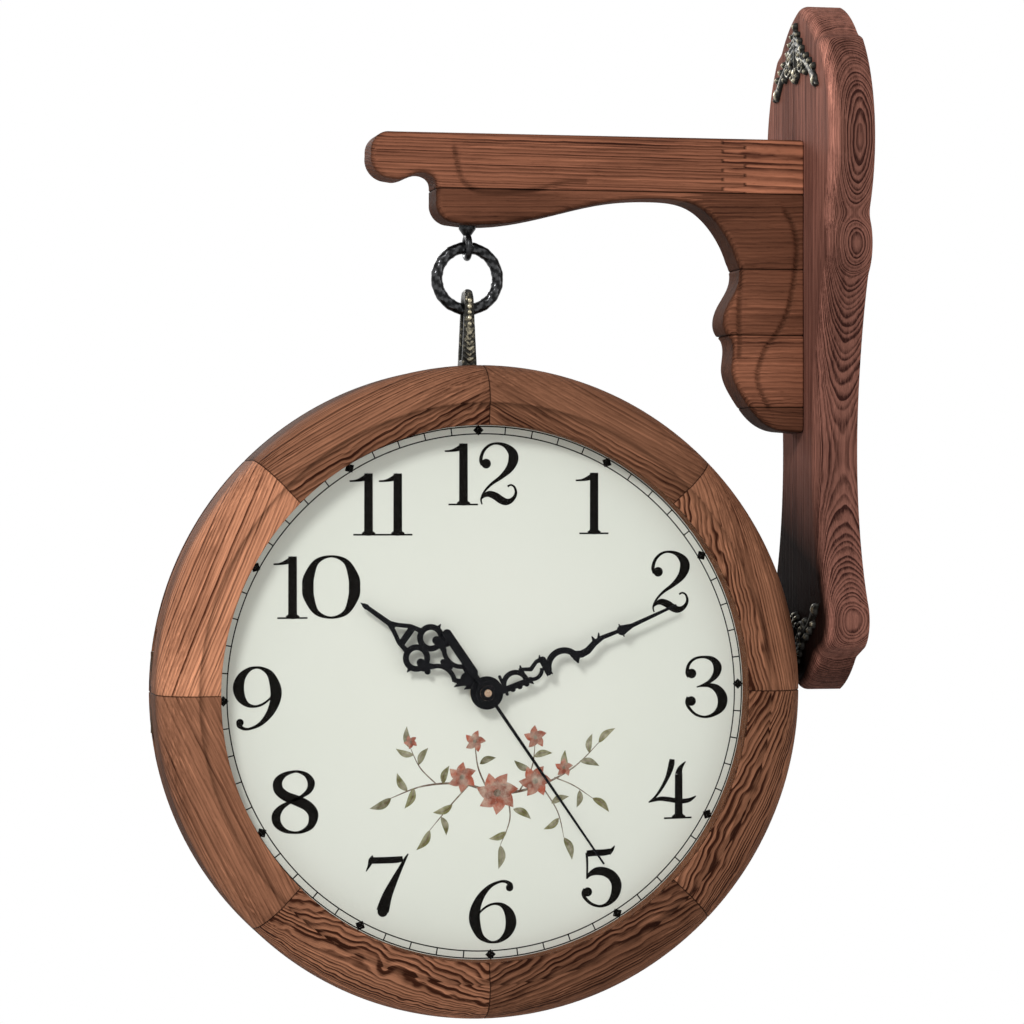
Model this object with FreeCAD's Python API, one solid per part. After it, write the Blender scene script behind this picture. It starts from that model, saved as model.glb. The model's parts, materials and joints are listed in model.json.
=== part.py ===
import math
import os

import FreeCAD
import Part

V = FreeCAD.Vector

# Clearances and shared values, in millimetres
OVERRUN = 2.0            # how far a cutting tool runs past a face
FIT = 0.05               # radial play of a turning or screwed shaft in its hole
SLIDE = 0.3              # play of a loose piece in its seat
FACE_GAP = 0.4           # gap between the two closed halves of the case
TOUCH = 0.001            # how near a point must be to lie on a face
CORNER_TURN = 3.0        # degrees; a smaller turn of an outline counts as smooth
CORNER_SHARE = 1.25      # rounding of a sawn corner as a share of its edges' rounding

# Wall plate: a waisted board with an arched cap
PLATE_HEIGHT = 434.0
PLATE_HALF_WIDTH = 75.2
PLATE_THICK = 28.0
PLATE_ROUND = 7.5        # rounding of the front edges
KEYHOLE_SPACING = 300.0  # between the two entry holes
KEYHOLE_RADIUS = 5.0     # entry for the head of a wall screw
KEYHOLE_DEPTH = 11.0
KEYHOLE_RUN = 12.0       # how far the slot runs above the entry
KEYHOLE_NECK = 2.6       # half width of the slot at the back face
KEYHOLE_LIP = 3.5        # wood left behind the screw head

# Half outline of the plate from the top of its cap to the tip of its foot:
# shares of the half width and of the height above the foot
PLATE_START_SHARE = (0.0, 1.0)
PLATE_OUTLINE_SHARES = (
    ("arc", (0.36, 0.9725), (0.53, 0.948)),
    ("line", (0.66, 0.940)),
    ("arc", (1.0, 0.807), (0.83, 0.684)),
    ("arc", (0.935, 0.643), (0.82, 0.600)),
    ("curve", (0.711, 0.550), (0.593, 0.473), (0.509, 0.344), (0.545, 0.267), (0.66, 0.187), (0.80, 0.132)),
    ("arc", (0.855, 0.104), (0.72, 0.066)),
    ("line", (0.48, 0.051)),
    ("arc", (0.28, 0.022), (0.0, 0.0)),
)

# Arm: five edge-glued strips sawn to one scroll outline
ARM_DROP = 184.7         # from its level top to its foot on the plate
ARM_BELOW_CAP = 86.5     # from the top of the plate's cap down to the top of the arm
ARM_THICK = 32.0
ARM_ROUND = 4.0          # rounding of the edges on both cheeks
ARM_GLUE_SHARES = (0.0, 0.187, 0.444, 0.668, 0.914, 1.0)
ARM_SCREW_SHARES = (0.08, 0.55, 0.78)
ARM_SCREW_RADIUS = 3.0
ARM_SCREW_HEAD = 6.0     # radius of the countersunk head
ARM_SCREW_LENGTH = 64.0

# Outline of the arm: shares of its length out from the plate, of its drop below its top
ARM_START_SHARE = (0.0, 0.0)
ARM_OUTLINE_SHARES = (
    ("line", (0.951, 0.0)),
    ("arc", (0.988, 0.017), (1.0, 0.07)),
    ("arc", (0.989, 0.132), (0.951, 0.158)),
    ("curve", (0.924, 0.156), (0.888, 0.136), (0.863, 0.146), (0.853, 0.178)),
    ("line", (0.853, 0.228)),
    ("arc", (0.843, 0.278), (0.809, 0.302)),
    ("curve", (0.733, 0.307), (0.593, 0.272), (0.451, 0.222), (0.334, 0.210), (0.257, 0.228), (0.190, 0.317),
     (0.158, 0.415)),
    ("curve", (0.162, 0.524), (0.1855, 0.590), (0.1885, 0.6415), (0.171, 0.680)),
    ("curve", (0.166, 0.708), (0.169, 0.784), (0.141, 0.886), (0.093, 0.969), (0.040, 0.996)),
    ("line", (0.0, 1.0)),
    ("line", (0.0, 0.0)),
)

# Screw eye under the arm
HANG_SHARE = 0.753       # where the clock's middle hangs along the arm
HANG_OFFSET = 5.5        # the links hang this far out from the clock's middle
EYE_SEAT_SHARE = 0.298   # how far below the arm's top its collar seats
EYE_COLLAR_RADIUS = 5.3
EYE_COLLAR_HEIGHT = 3.6
EYE_WIRE = 2.1           # radius of the loop's wire
EYE_INNER = 4.5          # inner radius of the loop
EYE_NECK = 6.6
EYE_SHANK = 2.6
EYE_SHANK_LENGTH = 34.0

# Ring between the eye and the hanger
RING_MIDDLE = 19.2       # radius of the ring's centre line
RING_WIRE = 3.8          # radius of its section

# Hanger loop on top of the case
HANGER_HEIGHT = 48.6
HANGER_CROWN = 8.6       # height of the loop above its opening
HANGER_OPENING = 4.6     # half width of the opening
HANGER_LEG = 3.2         # thickness of each leg
HANGER_FOOT = 4.2        # height of the solid foot
HANGER_TOP_WIDTH = 5.0
HANGER_FOOT_WIDTH = 9.4
HANGER_BED = 0.5         # how far the foot is let down onto the round of the case
HANGER_STUD = 3.0
HANGER_STUD_LENGTH = 18.0

# Case: two moulded rings of eight segments
SIDE_GAP = 6.1           # between the case and the wall plate
CASE_RADIUS = 201.5
CASE_HALF_DEPTH = 47.0
CASE_BAND = 20.0         # half depth of the plain outer band
CASE_CREST_INSET = 22.9  # from the outer band in to the crest of the moulding
CASE_QUIRK = 1.2         # small step behind the crest
CASE_SEAM = 14.0         # the two halves part this far behind the middle
CASE_SEAM_CHAMFER = 1.5
CASE_SEGMENTS = 8
CASE_RIM = 37.2          # from the outer band in to the edge of the lip
LIP_SET_BACK = 3.4       # from the crest back to the lip
LIP_THICK = 1.0
LIP_OVERLAP = 4.0        # how much of the glass the lip covers
MOULDING_SHARE = 0.71    # how full the outer moulding is at its middle

# Glass, liner and dial
GLASS_THICK = 2.0
HAND_ROOM = 13.0         # from the glass to the dial
DIAL_THICK = 3.0

# Movement behind each dial
MOVEMENT_SIDE = 56.0
MOVEMENT_DEPTH = 16.0
MOVEMENT_ROUND = 5.0
BATTERY_RADIUS = 7.1
BATTERY_LENGTH = 49.2
BATTERY_TIP = 1.3
BATTERY_TIP_RADIUS = 2.7
BATTERY_FLOOR = 1.2      # wall under the battery
BATTERY_EDGE = 3.0       # wall below the battery
KNOB_RADIUS = 6.5
KNOB_HEIGHT = 4.0
KNOB_STEM = 1.6
KNOB_STEM_LENGTH = 5.0
KNOB_GRIPS = 18
KNOB_GRIP = 0.5
KNOB_PLACE_SHARE = (0.27, 0.24)

# Bush, nut and the three coaxial arbors
BUSH_RADIUS = 4.0
BUSH_STAND = 5.0         # how far the bush stands out of the dial
NUT_RADIUS = 6.8
NUT_SIDES = 6
NUT_THICK = 2.4
WASHER_RADIUS = 9.0
WASHER_THICK = 0.6
PIPE_RADIUS = 2.6        # carries the hour hand
PIPE_DEPTH = 4.0
ARBOR_RADIUS = 1.75      # carries the minute hand
ARBOR_DEPTH = 7.0
SECONDS_RADIUS = 0.65    # carries the seconds hand
SECONDS_DEPTH = 10.0

# Hands
HAND_THICK = 0.8
HAND_STEP = 2.0          # from the face of one hand to the face of the next
HOUR_REACH_SHARE = 0.583     # length of each hand as a share of the dial's open radius
MINUTE_REACH_SHARE = 0.798
SECONDS_REACH_SHARE = 0.786
CAP_RADIUS = 4.6
CAP_HEIGHT = 1.8
HOUR_ANGLE = 305.5
MINUTE_ANGLE = 66.0
SECONDS_ANGLE = 145.4

# Pieces of the hands: shares of the hand's length, along it and to its left.
# disc: place and radius; ring: place, outer and inner radius;
# bar: end and width, end and width; arch: place, radius, width, from and to in degrees
HOUR_MIDLINE_SHARES = (
    ("disc", 0.0, 0.0, 0.095),
    ("bar", 0.08, 0.0, 0.080, 0.155, 0.0, 0.084),
    ("bar", 0.285, 0.0, 0.030, 0.345, 0.0, 0.036),
    ("bar", 0.634, -0.056, 0.044, 0.634, 0.056, 0.044),
    ("bar", 0.745, 0.0, 0.036, 0.97, 0.0, 0.028),
    ("bar", 0.955, 0.0, 0.036, 0.998, 0.0, 0.004),
)
HOUR_PAIR_SHARES = (
    ("bar", 0.115, 0.035, 0.030, 0.13, 0.062, 0.006),
    ("bar", 0.165, 0.035, 0.046, 0.192, 0.088, 0.005),
    ("bar", 0.15, 0.028, 0.040, 0.215, 0.052, 0.030),
    ("arch", 0.295, 0.135, 0.113, 0.030, 222.0, 322.0),
    ("bar", 0.382, 0.062, 0.034, 0.434, 0.094, 0.056),
    ("disc", 0.434, 0.094, 0.036),
    ("disc", 0.460, 0.087, 0.027),
    ("disc", 0.392, 0.108, 0.020),
    ("bar", 0.392, 0.108, 0.024, 0.434, 0.10, 0.040),
    ("ring", 0.50, 0.079, 0.088, 0.050),
    ("bar", 0.497, 0.155, 0.030, 0.497, 0.184, 0.008),
    ("bar", 0.58, 0.078, 0.034, 0.65, 0.064, 0.028),
    ("bar", 0.65, 0.064, 0.028, 0.72, 0.024, 0.028),
    ("bar", 0.72, 0.024, 0.028, 0.77, 0.002, 0.032),
)
MINUTE_SHARES = (
    ("disc", 0.0, 0.0, 0.078),
    ("bar", 0.086, -0.046, 0.014, 0.086, 0.044, 0.014),
    ("bar", 0.07, -0.022, 0.030, 0.215, -0.030, 0.026),
    ("disc", 0.12, -0.036, 0.013),
    ("disc", 0.155, -0.038, 0.013),
    ("disc", 0.19, -0.040, 0.013),
    ("arch", 0.141, -0.020, 0.056, 0.024, 0.0, 180.0),
    ("bar", 0.19, 0.012, 0.026, 0.196, 0.05, 0.006),
    ("bar", 0.19, 0.034, 0.016, 0.236, 0.014, 0.020),
    ("bar", 0.236, 0.014, 0.020, 0.275, 0.036, 0.018),
    ("bar", 0.275, 0.036, 0.018, 0.305, 0.034, 0.026),
    ("bar", 0.208, -0.032, 0.024, 0.22, -0.052, 0.006),
    ("arch", 0.242, 0.010, 0.046, 0.018, 245.0, 345.0),
    ("bar", 0.305, 0.030, 0.034, 0.308, -0.034, 0.030),
    ("bar", 0.292, 0.034, 0.018, 0.30, 0.056, 0.005),
    ("bar", 0.30, -0.03, 0.016, 0.297, -0.048, 0.005),
    ("bar", 0.315, -0.03, 0.016, 0.322, -0.048, 0.005),
    ("arch", 0.387, -0.041, 0.076, 0.030, 6.0, 172.0),
    ("bar", 0.458, -0.026, 0.034, 0.456, -0.05, 0.010),
    ("bar", 0.452, -0.008, 0.034, 0.487, -0.022, 0.034),
    ("bar", 0.487, -0.022, 0.034, 0.52, -0.020, 0.033),
    ("bar", 0.52, -0.020, 0.033, 0.563, -0.001, 0.029),
    ("bar", 0.563, -0.001, 0.029, 0.61, 0.008, 0.021),
    ("bar", 0.61, 0.008, 0.021, 0.71, 0.002, 0.017),
    ("bar", 0.568, 0.008, 0.020, 0.566, 0.032, 0.005),
    ("bar", 0.592, 0.010, 0.016, 0.602, 0.034, 0.005),
    ("bar", 0.708, -0.030, 0.006, 0.708, 0.030, 0.006),
    ("bar", 0.71, 0.0, 0.048, 0.765, 0.0, 0.020),
    ("bar", 0.72, 0.0, 0.022, 0.994, 0.0, 0.012),
)
SECONDS_SHARES = (
    ("disc", 0.0, 0.0, 0.055),
    ("bar", -0.12, 0.0, 0.044, -0.343, 0.0, 0.044),
    ("bar", -0.02, 0.0, 0.024, -0.14, 0.0, 0.024),
    ("bar", 0.02, 0.0, 0.016, 0.995, 0.0, 0.009),
)

# Cast filigree ornaments on the plate
ORNAMENT_WIDTH = 96.0
ORNAMENT_MARGIN = 10.5   # from the end of the plate to the ornament's point
ORNAMENT_THICK = 3.6

# Pieces of the ornament: shares of its width, down from its point and to its left
ORNAMENT_MIDLINE_SHARES = (
    ("disc", 0.028, 0.0, 0.026),
    ("bar", 0.03, 0.0, 0.030, 0.16, 0.0, 0.050),
    ("disc", 0.17, 0.0, 0.040),
    ("bar", 0.17, 0.0, 0.044, 0.36, 0.0, 0.060),
    ("disc", 0.375, 0.0, 0.062),
)
ORNAMENT_PAIR_SHARES = (
    ("bar", 0.085, 0.0, 0.030, 0.10, 0.062, 0.026),
    ("disc", 0.10, 0.066, 0.024),
    ("bar", 0.16, 0.0, 0.036, 0.165, 0.11, 0.030),
    ("ring", 0.19, 0.125, 0.062, 0.030),
    ("disc", 0.145, 0.185, 0.022),
    ("bar", 0.25, 0.0, 0.036, 0.275, 0.19, 0.034),
    ("ring", 0.265, 0.235, 0.064, 0.032),
    ("arch", 0.33, 0.11, 0.085, 0.030, 80.0, 300.0),
    ("disc", 0.255, 0.32, 0.026),
    ("bar", 0.28, 0.285, 0.036, 0.37, 0.375, 0.056),
    ("bar", 0.37, 0.375, 0.060, 0.455, 0.425, 0.040),
    ("disc", 0.46, 0.43, 0.026),
    ("disc", 0.335, 0.42, 0.026),
    ("bar", 0.335, 0.42, 0.026, 0.36, 0.375, 0.034),
)

# Hinge at nine o'clock, and the catch at three
HINGE_HALF_LENGTH = 25.0
HINGE_INSET = 2.8        # axis of the pin inside the outer band
HINGE_BARREL = 2.3       # radius of the knuckles
HINGE_PIN = 1.2
HINGE_LEAF_WIDTH = 13.0
HINGE_LEAF_THICK = 1.2
HINGE_KNUCKLES = 3
HINGE_PLAY = 0.3         # between knuckles
HINGE_RELIEF = 7.0       # wood cut away round the knuckles
CATCH_INSET = 15.0       # from the outer band in to the catch
CATCH_RADIUS = 5.0
CATCH_THICK = 3.0

# Places worked out from the sizes
reach = PLATE_THICK + SIDE_GAP + CASE_RADIUS
arm_top = PLATE_HEIGHT / 2 - ARM_BELOW_CAP
arm_length = (reach - PLATE_THICK) / HANG_SHARE
hang_x = -reach - HANG_OFFSET
eye_seat = arm_top - EYE_SEAT_SHARE * ARM_DROP
eye_middle = eye_seat - EYE_COLLAR_HEIGHT - EYE_NECK - EYE_INNER
ring_top = eye_middle - EYE_INNER + SLIDE + RING_WIRE
ring_middle = ring_top - RING_MIDDLE
ring_foot = ring_middle - RING_MIDDLE
hanger_top = ring_foot + RING_WIRE + SLIDE + HANGER_CROWN
clock_height = hanger_top - HANGER_HEIGHT + HANGER_BED - CASE_RADIUS
clock_centre = V(-reach, 0, clock_height)

crest_radius = CASE_RADIUS - CASE_CREST_INSET
lip_radius = CASE_RADIUS - CASE_RIM
lip_face = CASE_HALF_DEPTH - LIP_SET_BACK
glass_face = lip_face - LIP_THICK
glass_back = glass_face - GLASS_THICK
dial_face = glass_back - HAND_ROOM
dial_back = dial_face - DIAL_THICK
glass_radius = lip_radius + LIP_OVERLAP
rebate_radius = glass_radius + SLIDE
movement_back = dial_back - MOVEMENT_DEPTH

bush_end = dial_face + BUSH_STAND
hour_face = bush_end + SLIDE + HAND_THICK
minute_face = hour_face + HAND_STEP
seconds_face = minute_face + HAND_STEP
hour_length = HOUR_REACH_SHARE * lip_radius
minute_length = MINUTE_REACH_SHARE * lip_radius
seconds_length = SECONDS_REACH_SHARE * lip_radius

hinge_x = HINGE_INSET - CASE_RADIUS
catch_x = CASE_RADIUS - CATCH_INSET


def cylinder(radius, length, base, direction):
    return Part.makeCylinder(radius, length, base, direction)


def turned(radius, back, face):
    # round piece on the clock's axis, between two distances in front of its middle
    return cylinder(radius, face - back, V(0, -back, 0), V(0, -1, 0))


def turned_tube(outer, inner, back, face):
    return turned(outer, back, face).cut(turned(inner, back - OVERRUN, face + OVERRUN))


def block(low, high):
    return Part.makeBox(high.x - low.x, high.y - low.y, high.z - low.z, low)


def outline_edges(start, steps, place):
    # lines, arcs through a point and smooth curves, one after another
    edges = []
    here = place(start)
    for step in steps:
        points = [place(share) for share in step[1:]]
        if step[0] == "line":
            edges.append(Part.LineSegment(here, points[-1]).toShape())
        elif step[0] == "arc":
            edges.append(Part.Arc(here, points[0], points[-1]).toShape())
        else:
            curve = Part.BSplineCurve()
            curve.interpolate([here] + points)
            edges.append(curve.toShape())
        here = points[-1]
    return edges


def sharp_corners(board, run):
    # edges along the run of an extruded board where its outline turns a corner
    found = []
    for edge in board.Edges:
        if len(edge.Vertexes) < 2 or edge.tangentAt(edge.FirstParameter).cross(run).Length > TOUCH:
            continue
        spot = edge.Vertexes[0].Point
        faces = [face for face in board.Faces if any(other.isSame(edge) for other in face.Edges)]
        first, second = [face.normalAt(*face.Surface.parameter(spot)) for face in faces]
        if math.degrees(first.getAngle(second)) > CORNER_TURN:
            found.append(edge)
    return found


def edges_on_plane(shape, coordinate, value):
    found = []
    for edge in shape.Edges:
        ends = [getattr(vertex.Point, coordinate) for vertex in edge.Vertexes]
        ends.append(getattr(edge.valueAt((edge.FirstParameter + edge.LastParameter) / 2), coordinate))
        if all(abs(end - value) < TOUCH for end in ends):
            found.append(edge)
    return found


# Flat pierced work: hands and ornaments share these pieces

def flat_bar(u0, v0, w0, u1, v1, w1):
    run = V(u1 - u0, v1 - v0, 0)
    side = V(-run.y, run.x, 0).normalize()
    start = V(u0, v0, 0)
    end = V(u1, v1, 0)
    near = side * (w0 / 2)
    far = side * (w1 / 2)
    corners = [start + near, start - near, end - far, end + far]
    faces = [Part.Face(Part.makePolygon(corners + corners[:1]))]
    faces.append(flat_disc(u0, v0, w0 / 2))
    faces.append(flat_disc(u1, v1, w1 / 2))
    return faces


def flat_disc(u, v, radius):
    return Part.Face(Part.Wire(Part.makeCircle(radius, V(u, v, 0))))


def flat_ring(u, v, outer, inner):
    return flat_disc(u, v, outer).cut(flat_disc(u, v, inner))


def flat_arch(u, v, radius, width, start, end):
    middle = V(u, v, 0)
    outer = Part.makeCircle(radius + width / 2, middle, V(0, 0, 1), start, end)
    inner = Part.makeCircle(radius - width / 2, middle, V(0, 0, 1), start, end)
    first = Part.makeLine(inner.Vertexes[0].Point, outer.Vertexes[0].Point)
    last = Part.makeLine(outer.Vertexes[-1].Point, inner.Vertexes[-1].Point)
    return Part.Face(Part.Wire(Part.__sortEdges__([outer, last, inner, first])))


def flat_pieces(shares, size):
    faces = []
    for piece in shares:
        if piece[0] == "bar":
            faces.extend(flat_bar(*[share * size for share in piece[1:]]))
        elif piece[0] == "disc":
            faces.append(flat_disc(*[share * size for share in piece[1:]]))
        elif piece[0] == "ring":
            faces.append(flat_ring(*[share * size for share in piece[1:]]))
        else:
            faces.append(flat_arch(*[share * size for share in piece[1:5]], *piece[5:]))
    return faces


def mirrored(faces):
    return [face.mirror(V(0, 0, 0), V(0, 1, 0)) for face in faces]


def pierced_plate(faces, thick):
    # one plate from overlapping flat pieces, lying on its back
    sheet = faces[0].multiFuse(faces[1:]).removeSplitter()
    solids = [face.extrude(V(0, 0, thick)) for face in sheet.Faces]
    return solids[0] if len(solids) == 1 else solids[0].multiFuse(solids[1:]).removeSplitter()


# Bracket

def plate_body():
    def right(share):
        return V(-PLATE_THICK, share[0] * PLATE_HALF_WIDTH, (share[1] - 0.5) * PLATE_HEIGHT)

    def left(share):
        return V(-PLATE_THICK, -share[0] * PLATE_HALF_WIDTH, (share[1] - 0.5) * PLATE_HEIGHT)

    edges = outline_edges(PLATE_START_SHARE, PLATE_OUTLINE_SHARES, right)
    edges += outline_edges(PLATE_START_SHARE, PLATE_OUTLINE_SHARES, left)
    face = Part.Face(Part.Wire(Part.__sortEdges__(edges)))
    board = face.extrude(V(PLATE_THICK, 0, 0))
    board = board.makeFillet(PLATE_ROUND * CORNER_SHARE, sharp_corners(board, V(1, 0, 0)))
    return board.makeFillet(PLATE_ROUND, edges_on_plane(board, "x", -PLATE_THICK))


def keyhole(height):
    # entry hole, slot above it and the wider way for the screw's head
    entry = V(-KEYHOLE_DEPTH, 0, height)
    depth = KEYHOLE_DEPTH + OVERRUN
    cut = cylinder(KEYHOLE_RADIUS, depth, entry, V(1, 0, 0))
    top = V(-KEYHOLE_DEPTH, 0, height + KEYHOLE_RUN)
    neck = cylinder(KEYHOLE_NECK, depth, top, V(1, 0, 0))
    low = V(-KEYHOLE_DEPTH, -KEYHOLE_NECK, height)
    neck = neck.fuse(block(low, V(OVERRUN, KEYHOLE_NECK, top.z)))
    head_depth = KEYHOLE_DEPTH - KEYHOLE_LIP
    head = cylinder(KEYHOLE_RADIUS, head_depth, top, V(1, 0, 0))
    low = V(-KEYHOLE_DEPTH, -KEYHOLE_RADIUS, height)
    head = head.fuse(block(low, V(-KEYHOLE_LIP, KEYHOLE_RADIUS, top.z)))
    return cut.fuse([neck, head])


def arm_screw(height, play):
    # long wood screw from the back of the plate into the arm
    narrow = ARM_SCREW_RADIUS + play
    broad = ARM_SCREW_HEAD + play
    deep = ARM_SCREW_HEAD - ARM_SCREW_RADIUS
    length = ARM_SCREW_LENGTH + play
    head = Part.makeCone(narrow, broad, deep, V(-deep, 0, height), V(1, 0, 0))
    shank = cylinder(narrow, length, V(-length, 0, height), V(1, 0, 0))
    return head.fuse(shank)


def arm_screw_heights():
    return [arm_top - share * ARM_DROP for share in ARM_SCREW_SHARES]


def wall_plate():
    plate = plate_body()
    for height in (-KEYHOLE_SPACING / 2, KEYHOLE_SPACING / 2):
        plate = plate.cut(keyhole(height))
    for height in arm_screw_heights():
        plate = plate.cut(arm_screw(height, FIT))
    return plate


def away_from_plate(body, edges):
    seated = edges_on_plane(body, "x", -PLATE_THICK)
    return [edge for edge in edges if not any(edge.isSame(other) for other in seated)]


def arm_body():
    def place(share):
        return V(-PLATE_THICK - share[0] * arm_length, -ARM_THICK / 2, arm_top - share[1] * ARM_DROP)

    edges = outline_edges(ARM_START_SHARE, ARM_OUTLINE_SHARES, place)
    body = Part.Face(Part.Wire(edges)).extrude(V(0, ARM_THICK, 0))
    body = body.makeFillet(ARM_ROUND * CORNER_SHARE, away_from_plate(body, sharp_corners(body, V(0, 1, 0))))
    rims = edges_on_plane(body, "y", -ARM_THICK / 2) + edges_on_plane(body, "y", ARM_THICK / 2)
    body = body.makeFillet(ARM_ROUND, away_from_plate(body, rims))
    for height in arm_screw_heights():
        body = body.cut(arm_screw(height, FIT))
    seat = V(hang_x, 0, eye_seat)
    spot = cylinder(EYE_COLLAR_RADIUS + SLIDE, ARM_DROP, seat, V(0, 0, -1))
    hole = cylinder(EYE_SHANK + FIT, EYE_SHANK_LENGTH + FIT, seat, V(0, 0, 1))
    return body.cut([spot, hole])


def arm_strips():
    body = arm_body()
    strips = []
    for upper, lower in zip(ARM_GLUE_SHARES, ARM_GLUE_SHARES[1:]):
        low = V(-PLATE_THICK - arm_length - OVERRUN, -ARM_THICK, arm_top - lower * ARM_DROP)
        high = V(-PLATE_THICK, ARM_THICK, arm_top - upper * ARM_DROP)
        strips.append(body.common(block(low, high)))
    return strips


def ornament():
    # cast filigree, drawn with its point at the start and set on the front of the plate
    pair = flat_pieces(ORNAMENT_PAIR_SHARES, ORNAMENT_WIDTH)
    faces = flat_pieces(ORNAMENT_MIDLINE_SHARES, ORNAMENT_WIDTH) + pair + mirrored(pair)
    plate = pierced_plate(faces, ORNAMENT_THICK)
    plate.rotate(V(0, 0, 0), V(0, 1, 0), 90)
    plate.translate(V(-PLATE_THICK - ORNAMENT_THICK, 0, PLATE_HEIGHT / 2 - ORNAMENT_MARGIN))
    return plate


def lower_ornament():
    shape = ornament()
    shape.rotate(V(0, 0, 0), V(1, 0, 0), 180)
    return shape


def screw_eye():
    centre = V(hang_x, 0, eye_middle)
    loop = Part.makeTorus(EYE_INNER + EYE_WIRE, EYE_WIRE, centre, V(1, 0, 0))
    collar_low = eye_seat - EYE_COLLAR_HEIGHT
    collar = cylinder(EYE_COLLAR_RADIUS, EYE_COLLAR_HEIGHT, V(hang_x, 0, collar_low), V(0, 0, 1))
    neck_low = eye_middle + EYE_INNER + EYE_WIRE
    neck_base = V(hang_x, 0, neck_low)
    neck = Part.makeCone(EYE_WIRE, EYE_COLLAR_RADIUS, collar_low - neck_low, neck_base, V(0, 0, 1))
    shank = cylinder(EYE_SHANK, EYE_SHANK_LENGTH, V(hang_x, 0, eye_seat), V(0, 0, 1))
    return loop.fuse([neck, collar, shank])


# Hanging links

def hanging_ring():
    return Part.makeTorus(RING_MIDDLE, RING_WIRE, V(hang_x, 0, ring_middle), V(0, 1, 0))


def hanger_arch(half_width, low, high):
    # round-headed panel across the clock, as wide as the hanger's foot
    middle = high - half_width
    panel = block(V(-HANGER_FOOT_WIDTH / 2, -half_width, low), V(HANGER_FOOT_WIDTH / 2, half_width, middle))
    head = cylinder(half_width, HANGER_FOOT_WIDTH, V(-HANGER_FOOT_WIDTH / 2, 0, middle), V(1, 0, 0))
    return panel.fuse(head).removeSplitter()


def hanger_taper():
    # side view: narrow at the crown, broad at the foot, half round on top
    foot = HANGER_FOOT_WIDTH / 2
    top = HANGER_TOP_WIDTH / 2
    spring = HANGER_HEIGHT - top
    corners = [V(-foot, 0, 0), V(foot, 0, 0), V(top, 0, spring), V(-top, 0, spring)]
    edges = [Part.makeLine(corners[0], corners[1]), Part.makeLine(corners[1], corners[2])]
    edges.append(Part.Arc(corners[2], V(0, 0, HANGER_HEIGHT), corners[3]).toShape())
    edges.append(Part.makeLine(corners[3], corners[0]))
    wide = HANGER_OPENING + HANGER_LEG + OVERRUN
    face = Part.Face(Part.Wire(edges))
    face.translate(V(0, -wide, 0))
    return face.extrude(V(0, 2 * wide, 0))


def hanger():
    outer = hanger_arch(HANGER_OPENING + HANGER_LEG, 0, HANGER_HEIGHT)
    loop = outer.common(hanger_taper())
    window = hanger_arch(HANGER_OPENING, HANGER_FOOT, HANGER_HEIGHT - HANGER_CROWN)
    saddle = HANGER_HEIGHT - HANGER_CROWN - HANGER_OPENING
    loop = loop.cut(window)
    # the opening's head is rounded like the ring that lies in it
    pitch = HANGER_OPENING + HANGER_TOP_WIDTH / 2
    tunnel = cylinder(pitch, HANGER_FOOT_WIDTH, V(-HANGER_FOOT_WIDTH / 2, 0, saddle), V(1, 0, 0))
    hollow = tunnel.cut(Part.makeTorus(pitch, HANGER_TOP_WIDTH / 2, V(0, 0, saddle), V(1, 0, 0)))
    upper = block(V(-HANGER_FOOT_WIDTH, -pitch, saddle), V(HANGER_FOOT_WIDTH, pitch, HANGER_HEIGHT))
    loop = loop.cut(hollow.common(upper))
    stud = cylinder(HANGER_STUD, HANGER_STUD_LENGTH + HANGER_FOOT, V(0, 0, HANGER_FOOT), V(0, 0, -1))
    base = V(hang_x, 0, hanger_top - HANGER_HEIGHT)
    loop.translate(base)
    stud.translate(base)
    round_top = cylinder(CASE_RADIUS, 2 * CASE_BAND, clock_centre - V(0, CASE_BAND, 0), V(0, 1, 0))
    return loop.cut(round_top).fuse(stud)


# Case: built round the origin with its axis along Y and its face towards -Y, then put in place

def to_clock(shape, rear):
    if rear:
        shape.rotate(V(0, 0, 0), V(0, 0, 1), 180)
    shape.translate(clock_centre)
    return shape


def ring_profile(seam):
    # half section of the moulding: outer band, ovolo, quirk, bevel, lip and rebate
    band = V(CASE_RADIUS, -CASE_BAND, 0)
    crest = V(crest_radius, -CASE_HALF_DEPTH, 0)
    full = V(crest_radius + MOULDING_SHARE * CASE_CREST_INSET,
             -CASE_BAND - MOULDING_SHARE * (CASE_HALF_DEPTH - CASE_BAND), 0)
    corners = [
        crest,
        V(crest_radius - CASE_QUIRK, CASE_QUIRK - CASE_HALF_DEPTH, 0),
        V(lip_radius, -lip_face, 0),
        V(lip_radius, -glass_face, 0),
        V(rebate_radius, -glass_face, 0),
        V(rebate_radius, seam, 0),
        V(CASE_RADIUS - CASE_SEAM_CHAMFER, seam, 0),
        V(CASE_RADIUS, seam - CASE_SEAM_CHAMFER, 0),
        band,
    ]
    edges = [Part.makeLine(a, b) for a, b in zip(corners, corners[1:])]
    edges.append(Part.Arc(band, full, crest).toShape())
    return Part.Face(Part.Wire(edges))


def case_ring(seam, cuts):
    profile = ring_profile(seam)
    turn = 360.0 / CASE_SEGMENTS
    segments = []
    for index in range(CASE_SEGMENTS):
        segment = profile.revolve(V(0, 0, 0), V(0, 1, 0), turn)
        segment.rotate(V(0, 0, 0), V(0, 1, 0), index * turn)
        segments.append(segment.cut(cuts))
    return Part.makeCompound(segments)


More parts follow.
